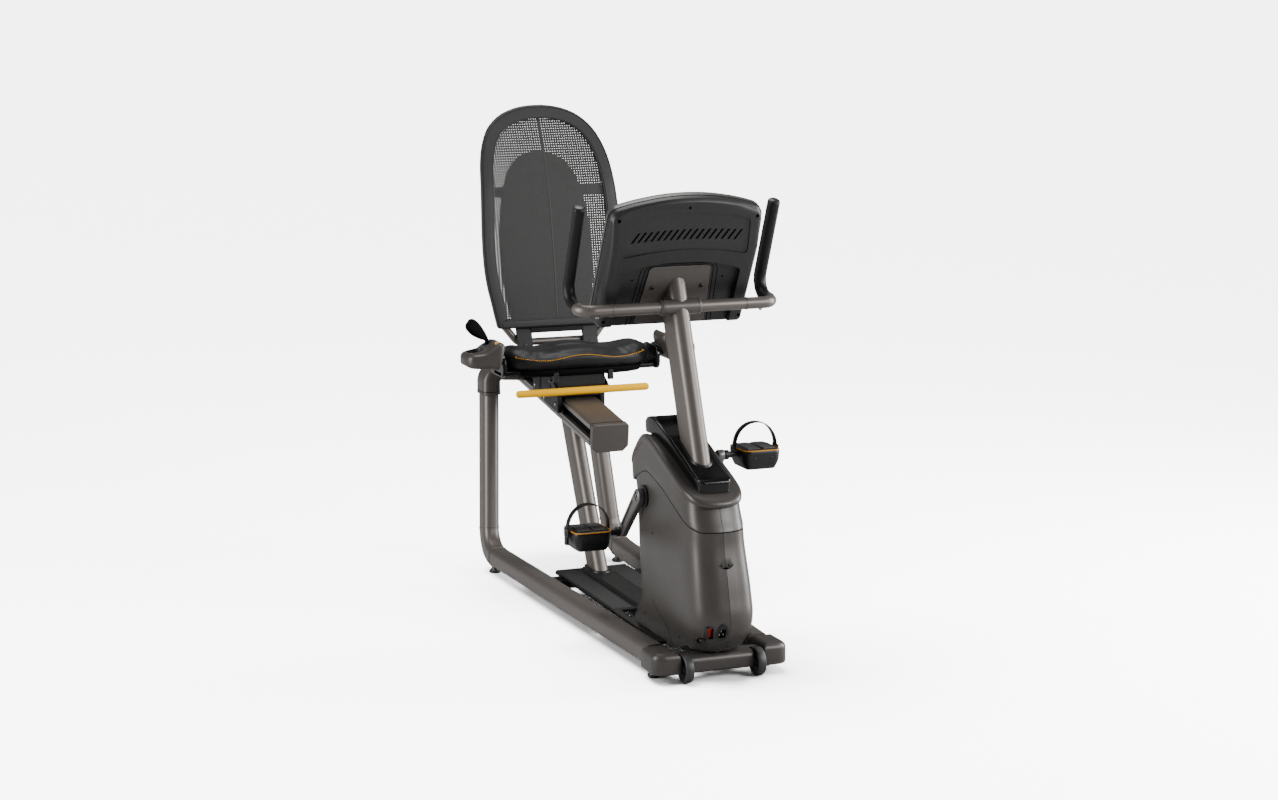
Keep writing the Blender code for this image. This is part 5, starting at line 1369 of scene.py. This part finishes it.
# ---------------------------------------------------------------- seat back
def back_outline(shrink, corner=0.01, clear=2):
    """Symmetric (x, z) outline of the seat back, moved in by shrink, with round lower corners.

    The bar across the bottom is about two thirds as wide as the sides.
    """
    half = [(0.0, 0.747), (0.06, 0.747), (0.12, 0.747), (0.16, 0.7472), (0.1895, 0.7475),
        (0.197, 0.785), (0.205, 0.826), (0.2145, 0.874), (0.22, 0.93), (0.2205, 1.0),
        (0.2165, 1.09), (0.211, 1.17), (0.204, 1.23), (0.19, 1.282), (0.166, 1.328), (0.13, 1.362),
        (0.09, 1.382), (0.046, 1.393), (0.0, 1.396)]
    loop = ring_full(half)
    moved = []
    for i, p in enumerate(loop):
        before = (p - loop[i - 1]).normalized()
        after = (loop[(i + 1) % len(loop)] - p).normalized()
        inwards = Vector((-before.y - after.y, before.x + after.x)).normalized()
        reach = shrink / max(inwards.dot(Vector((-before.y, before.x))), 0.5)
        lower = 0.36 * shrink if i <= 4 or i >= len(loop) - 4 else 0.0
        q = p + inwards * reach - Vector((0, lower))
        moved.append((q.x, q.y, 0))
    arc = spline(moved[4:len(loop) - 3], 5)
    base = spline(moved[len(loop) - 4:] + moved[:5], 5)
    arc, base = arc[clear:-clear], base[clear:-clear]
    right = fillet([base[-1], moved[4], arc[0]], [0, corner, 0], 8)[1:-1]
    left = fillet([arc[-1], moved[len(loop) - 4], base[0]], [0, corner, 0], 8)[1:-1]
    return [p.xy for p in base + right + arc + left]


BACK_FINE = [(p.x, p.y) for p in spline([(z, y, 0) for z, y in BACK_CURVE], 6)]


def on_back(x, z, behind):
    return Vector((x, table(z, BACK_FINE) + behind, z))


section = fillet([(0.0, -0.008), (0.0395, -0.009), (0.0395, 0.0085), (0.0, 0.0085)],
    [0.0055, 0.004, 0.004, 0.0055], 6, closed=True)
loops = [[on_back(p.x, p.y, q.y) for p in back_outline(q.x)] for q in section]
rim = [[loop[i] for loop in loops] for i in range(len(loops[0]))]
piece("back_rim_moulding", loft(rim, wrap=True), CHARCOAL, "seat", "back_rim", slot="back_grey",
    angle=60)
for name, shrink, behind in (("inner", 0.0355, -0.0089), ("outer", 0.006, -0.0083)):
    groove = [on_back(p.x, p.y, behind) for p in back_outline(shrink)]
    piece(f"back_rim_groove_{name}", tube(groove, 0.00045, (0, 1, 0), 8, closed=True), DEEP,
        "seat", slot="back_grey")

PITCH, ROW, HOLE = 0.0074, 0.0073, 0.001  # the net's cells across and down, and their holes
limit = back_outline(0.016)


def inside(x, z, loop):
    odd = False
    for a, b in zip(loop, loop[1:] + loop[:1]):
        if (a.y > z) != (b.y > z) and x < a.x + (z - a.y) / (b.y - a.y) * (b.x - a.x):
            odd = not odd
    return odd


points, faces, cells = [], [], 0
for row in range(-4, 90):
    z = 0.756 + row * ROW
    for column in range(-32, 33):
        x = column * PITCH
        edge = [(x + u * PITCH / 2, z + v * ROW / 2) for u, v in ((-1, -1), (0, -1), (1, -1),
            (1, 0), (1, 1), (0, 1), (-1, 1), (-1, 0))]
        if not all(inside(px, pz, limit) for px, pz in edge[::2]):
            continue
        round_hole = [(x + HOLE * reach * math.cos(a), z + HOLE * reach * math.sin(a))
            for a, reach in [(math.radians(-135 + 45 * k), 1.08 - 0.12 * (k % 2))
            for k in range(8)]]
        base = len(points)
        points += [on_back(px, pz, 0.0) for px, pz in edge + round_hole]
        faces += [(base + k, base + (k + 1) % 8, base + 8 + (k + 1) % 8, base + 8 + k)
            for k in range(8)]
        cells += 1
net = build("back_mesh_net", (points, faces))
thicken = net.modifiers.new("yarn", "SOLIDIFY")
thicken.thickness, thicken.offset = 0.0012, 0.0
baked(net)
dress(net, NET, "seat", "back_mesh", angle=70)
tape_rings = []
for k in range(41):
    z = 0.77 + 0.605 * k / 40
    tape_rings.append([on_back(x, z, b) for x, b in ((-0.003, -0.0004), (-0.0022, -0.0012),
        (0.0022, -0.0012), (0.003, -0.0004), (0.003, 0.0008), (-0.003, 0.0008))])
tape = piece("back_mesh_seam", loft(tape_rings), NET, "seat", angle=60)

plate_half = [(0.0, 0.756), (0.06, 0.7562), (0.1, 0.7565), (0.122, 0.762), (0.132, 0.8),
    (0.14, 0.85), (0.147, 0.9), (0.148, 0.96), (0.141, 1.06), (0.128, 1.13), (0.108, 1.19),
    (0.08, 1.228), (0.04, 1.25), (0.0, 1.256)]
loop = ring_full(plate_half)
plate_rings = []
for shrink, behind in ((0.004, 0.062), (0.001, 0.0628), (0.0, 0.0645), (0.0, 0.0668),
        (0.001, 0.0684), (0.004, 0.069)):
    fine = spline([(p.x, p.y, 0) for p in inset(loop, shrink)], 4, closed=True)
    plate_rings.append([on_back(p.x, p.y, behind) for p in fine])
piece("back_plate_moulding", bridged(plate_rings), BLACK, "seat", "back_plate", angle=50)
for side_name, sx in SIDES:
    arm = [[(sx * 0.115, 0.8185, z), (sx * 0.115, 0.83, z), (sx * 0.196, 0.783, z),
        (sx * 0.196, 0.7715, z)] for z in (1.125, 1.155)]
    piece(f"back_plate_arm_{side_name}", loft(arm), BLACK, "seat", bevel=0.0028, segments=4)
tube_path = [(-0.16, 0.742, 0.83), (-0.168, 0.709, 0.76), (-0.12, 0.703, 0.7)]
tube_path = fillet(mirrored(tube_path), [0, 0.03, 0.03, 0.03, 0.03, 0], 12)
piece("back_tube_bar", loft(sweep(tube_path, disc(0.011, 32), (0, 1, 0))), PAINT, "seat",
    "back_tube", angle=50)
strut = fillet([(0.662, 0.6524), (0.674, 0.6524), (0.716, 0.8), (0.706, 0.8)],
    [0, 0, 0.004, 0.004], 5, closed=True)
strut = [(p.x, p.y) for p in strut]
piece("back_struts_bridge", box((-0.085, 0.684, 0.7285), (0.085, 0.699, 0.744)), RUBBER, "seat",
    "back_struts", bevel=0.002)
for side_name, sx in SIDES:
    low, high = sorted((sx * 0.08, sx * 0.128))
    piece(f"back_strut_{side_name}", extruded(strut, low, high), RUBBER, "seat", bevel=0.0018)
    screw(f"back_strut_screw_{side_name}", (sx * 0.104, 0.6745, 0.696), (0, -0.97, 0.26), 0.0052,
        DARK_STEEL, "seat")

# ---------------------------------------------------------------- armrests
ARM = (  # x, front, rear, bottom, top
    (-0.357, 0.472, 0.512, 0.682, 0.7), (-0.351, 0.452, 0.532, 0.676, 0.708),
    (-0.337, 0.44, 0.546, 0.671, 0.712), (-0.305, 0.434, 0.552, 0.669, 0.716),
    (-0.284, 0.432, 0.554, 0.668, 0.728), (-0.262, 0.43, 0.546, 0.668, 0.742),
    (-0.249, 0.434, 0.53, 0.712, 0.742), (-0.242, 0.446, 0.515, 0.719, 0.734),
)
POD = Vector((-0.262, 0.458, 0.742))
for side_name, sx in SIDES:
    rings = []
    for x, front, rear, low, high in ARM:
        ring = rounded(rear - front, high - low, min(0.014, (high - low) * 0.4), 6)
        rings.append([Vector((-sx * x, (front + rear) / 2 + p.x, (low + high) / 2 + p.y))
            for p in ring])
    shape = loft(smooth_grid(rings, 5, 1, closed=True))
    arm = build(f"armrest_{side_name}_moulding", shape)
    tray = panel(0.291, 0.474, 0.337, 0.538, [0.012, 0.016, 0.016, 0.012], 8)
    cuts = [loft([[(sx * p.x, p.y, z) for p in tray] for z in (0.7035, 0.8)])]
    centre = Vector((-sx * POD.x, POD.y, POD.z))
    cuts.append(turned(((-0.006, 0.008), (0.02, 0.008)), centre, (0, 0, 1)))
    if sx < 0:
        cuts.append(box((-0.288, 0.5025, 0.727), (-0.264, 0.5275, 0.8)))
    carve(arm, *cuts)
    dress(arm, SHELL, "seat", f"armrest_{side_name}", bevel=0.0008, segments=2, angle=50)
    piece(f"armrest_{side_name}_mount", box((sx * 0.258 - 0.0132, 0.482, 0.674),
        (sx * 0.258 + 0.0132, 0.541, 0.706)), SHELL, "seat", bevel=0.002)
    inlay = [[(sx * p.x, p.y, z) for p in inset(tray, move)]
        for z, move in ((0.703, 0.0006), (0.7048, 0.0006), (0.7056, 0.002))]
    piece(f"armrest_{side_name}_inlay", loft(inlay), BLACK, "seat", angle=50)
    arm_skin = tree_of(arm)
    # A thin light line of painted highlight runs round the tray's rim.
    rim_highlight_line = [hit(arm_skin, (sx * p.x, p.y, 0.8), (0, 0, -1))[0] + Vector((0, 0, 0.0002))
        for p in inset(tray, -0.0012)]
    piece(f"armrest_{side_name}_rim", tube(rim_highlight_line, 0.0008, closed=True), PAINTED_EDGE_HIGHLIGHT, "seat")
    button = [(-0.0035, 0.0058), (0.0022, 0.0058), (0.0028, 0.0054), (0.0031, 0.0044),
        (0.0031, 0.0002)]
    body = f"arm_button_{side_name}"
    piece(body + "_cap", turned(button, centre, (0, 0, 1), 40), WHITE, body, body)
    piece(body + "_ring", ring_of([(-0.0035, 0.0058), (0.002, 0.0058), (0.0024, 0.0064),
        (0.002, 0.0072), (-0.0035, 0.0072)], centre, (0, 0, 1), 40), ORANGE, body,
        slot="button_white")
    for number, (x, y) in enumerate(((0.262, 0.53), (0.325, 0.545))):
        at, normal = hit(arm_skin, (sx * x, y, 0.8), (0, 0, -1))
        piece(f"armrest_{side_name}_plug_{number}", turned(((-0.001, 0.0034), (0.0005, 0.0033),
            (0.0008, 0.0026)), at, normal, 20), BLACK, "seat")

paddle = (  # x, y, z, half-width, half-thickness
    (-0.2755, 0.515, 0.731, 0.005, 0.005), (-0.2765, 0.5146, 0.742, 0.006, 0.005),
    (-0.282, 0.5115, 0.75, 0.008, 0.006), (-0.293, 0.506, 0.759, 0.013, 0.008),
    (-0.315, 0.496, 0.778, 0.02, 0.011), (-0.334, 0.488, 0.796, 0.019, 0.01),
    (-0.341, 0.485, 0.803, 0.012, 0.006),
)
path = [Vector(p[:3]) for p in paddle]
rings = sweep(path, [rounded(2 * p[3], 2 * p[4], min(p[3], p[4]) * 0.85, 6) for p in paddle],
    (0.75, 0.3, 0.6))
piece("recline_lever_paddle", loft(smooth_grid(rings, 5, 1, closed=True)), DEEP, "recline_lever",
    "recline_lever", slot="black_plastic", angle=70)

# ---------------------------------------------------------------- floor, camera and light
bpy.ops.mesh.primitive_plane_add(size=240)
floor = bpy.context.object
floor.name = "studio_floor"


def by_camera_ray(tree, otherwise, seen):
    """Joins two shaders: what the camera sees directly, and what lights and mirrors see."""
    path_kind = tree.nodes.new("ShaderNodeLightPath")
    either = tree.nodes.new("ShaderNodeMixShader")
    tree.links.new(path_kind.outputs["Is Camera Ray"], either.inputs[0])
    tree.links.new(otherwise.outputs[0], either.inputs[1])
    tree.links.new(seen.outputs[0], either.inputs[2])
    return either.outputs[0]


pale = surface("studio_floor", (0.9, 0.9, 0.9), 0.7, tint=0.003, grain=0.02)
bounce = pale.node_tree.nodes.new("ShaderNodeBsdfDiffuse")
bounce.inputs["Color"].default_value = (0.1, 0.1, 0.1, 1)
pale.node_tree.links.new(by_camera_ray(pale.node_tree, bounce,
    pale.node_tree.nodes["Principled BSDF"]),
    pale.node_tree.nodes["Material Output"].inputs["Surface"])
floor.data.materials.append(pale)

camera = bpy.data.objects.new("photo_camera", bpy.data.cameras.new("photo_camera"))
bpy.context.scene.collection.objects.link(camera)
camera.location = (-2.505, -6.686, 1.894)
heading = Vector((0, -0.153, 0.6351)) - camera.location
camera.rotation_euler = heading.to_track_quat("-Z", "Y").to_euler()
camera.data.lens, camera.data.sensor_width = 72.44, 36
bpy.context.scene.camera = camera

world = bpy.data.worlds.new("studio")
world.use_nodes = True
studio = world.node_tree
sky = studio.nodes["Background"]
sky.inputs["Color"].default_value = (1, 1, 1, 1)
sky.inputs["Strength"].default_value = 7.2
fill = studio.nodes.new("ShaderNodeBackground")
fill.inputs["Color"].default_value = (1, 1, 1, 1)
fill.inputs["Strength"].default_value = 0.2
studio.links.new(by_camera_ray(studio, fill, sky), studio.nodes["World Output"].inputs["Surface"])
bpy.context.scene.world = world


def area_light(name, place, aim, power, wide, high, colour=(1, 1, 1)):
    light = bpy.data.lights.new(name, "AREA")
    light.shape, light.size, light.size_y = "RECTANGLE", wide, high
    light.energy, light.color = power, colour
    item = bpy.data.objects.new(name, light)
    item.location = place
    item.rotation_euler = (Vector(aim) - Vector(place)).to_track_quat("-Z", "Y").to_euler()
    bpy.context.scene.collection.objects.link(item)


area_light("key_light", (2.3, -3.6, 2.3), (0, -0.2, 0.6), 165, 1.5, 1.8)
area_light("left_strip", (-3.4, -0.2, 1.6), (0, 0, 0.6), 150, 0.9, 2.6)
area_light("right_strip", (3.3, -0.9, 1.5), (0, -0.1, 0.6), 210, 0.9, 2.6)
area_light("top_light", (0.2, 0.6, 3.6), (0, 0, 0.5), 75, 1.6, 1.6)
# A wide overhead sun that reaches the floor alone gives it its white and its soft shadows.
overhead = bpy.data.objects.new("floor_sun", bpy.data.lights.new("floor_sun", "SUN"))
overhead.data.energy, overhead.data.angle = 21.0, math.radians(45)
overhead.rotation_euler = (math.radians(-14), math.radians(-10), 0)
bpy.context.scene.collection.objects.link(overhead)
only_floor = bpy.data.collections.new("floor_only")
only_floor.objects.link(floor)
overhead.light_linking.receiver_collection = only_floor
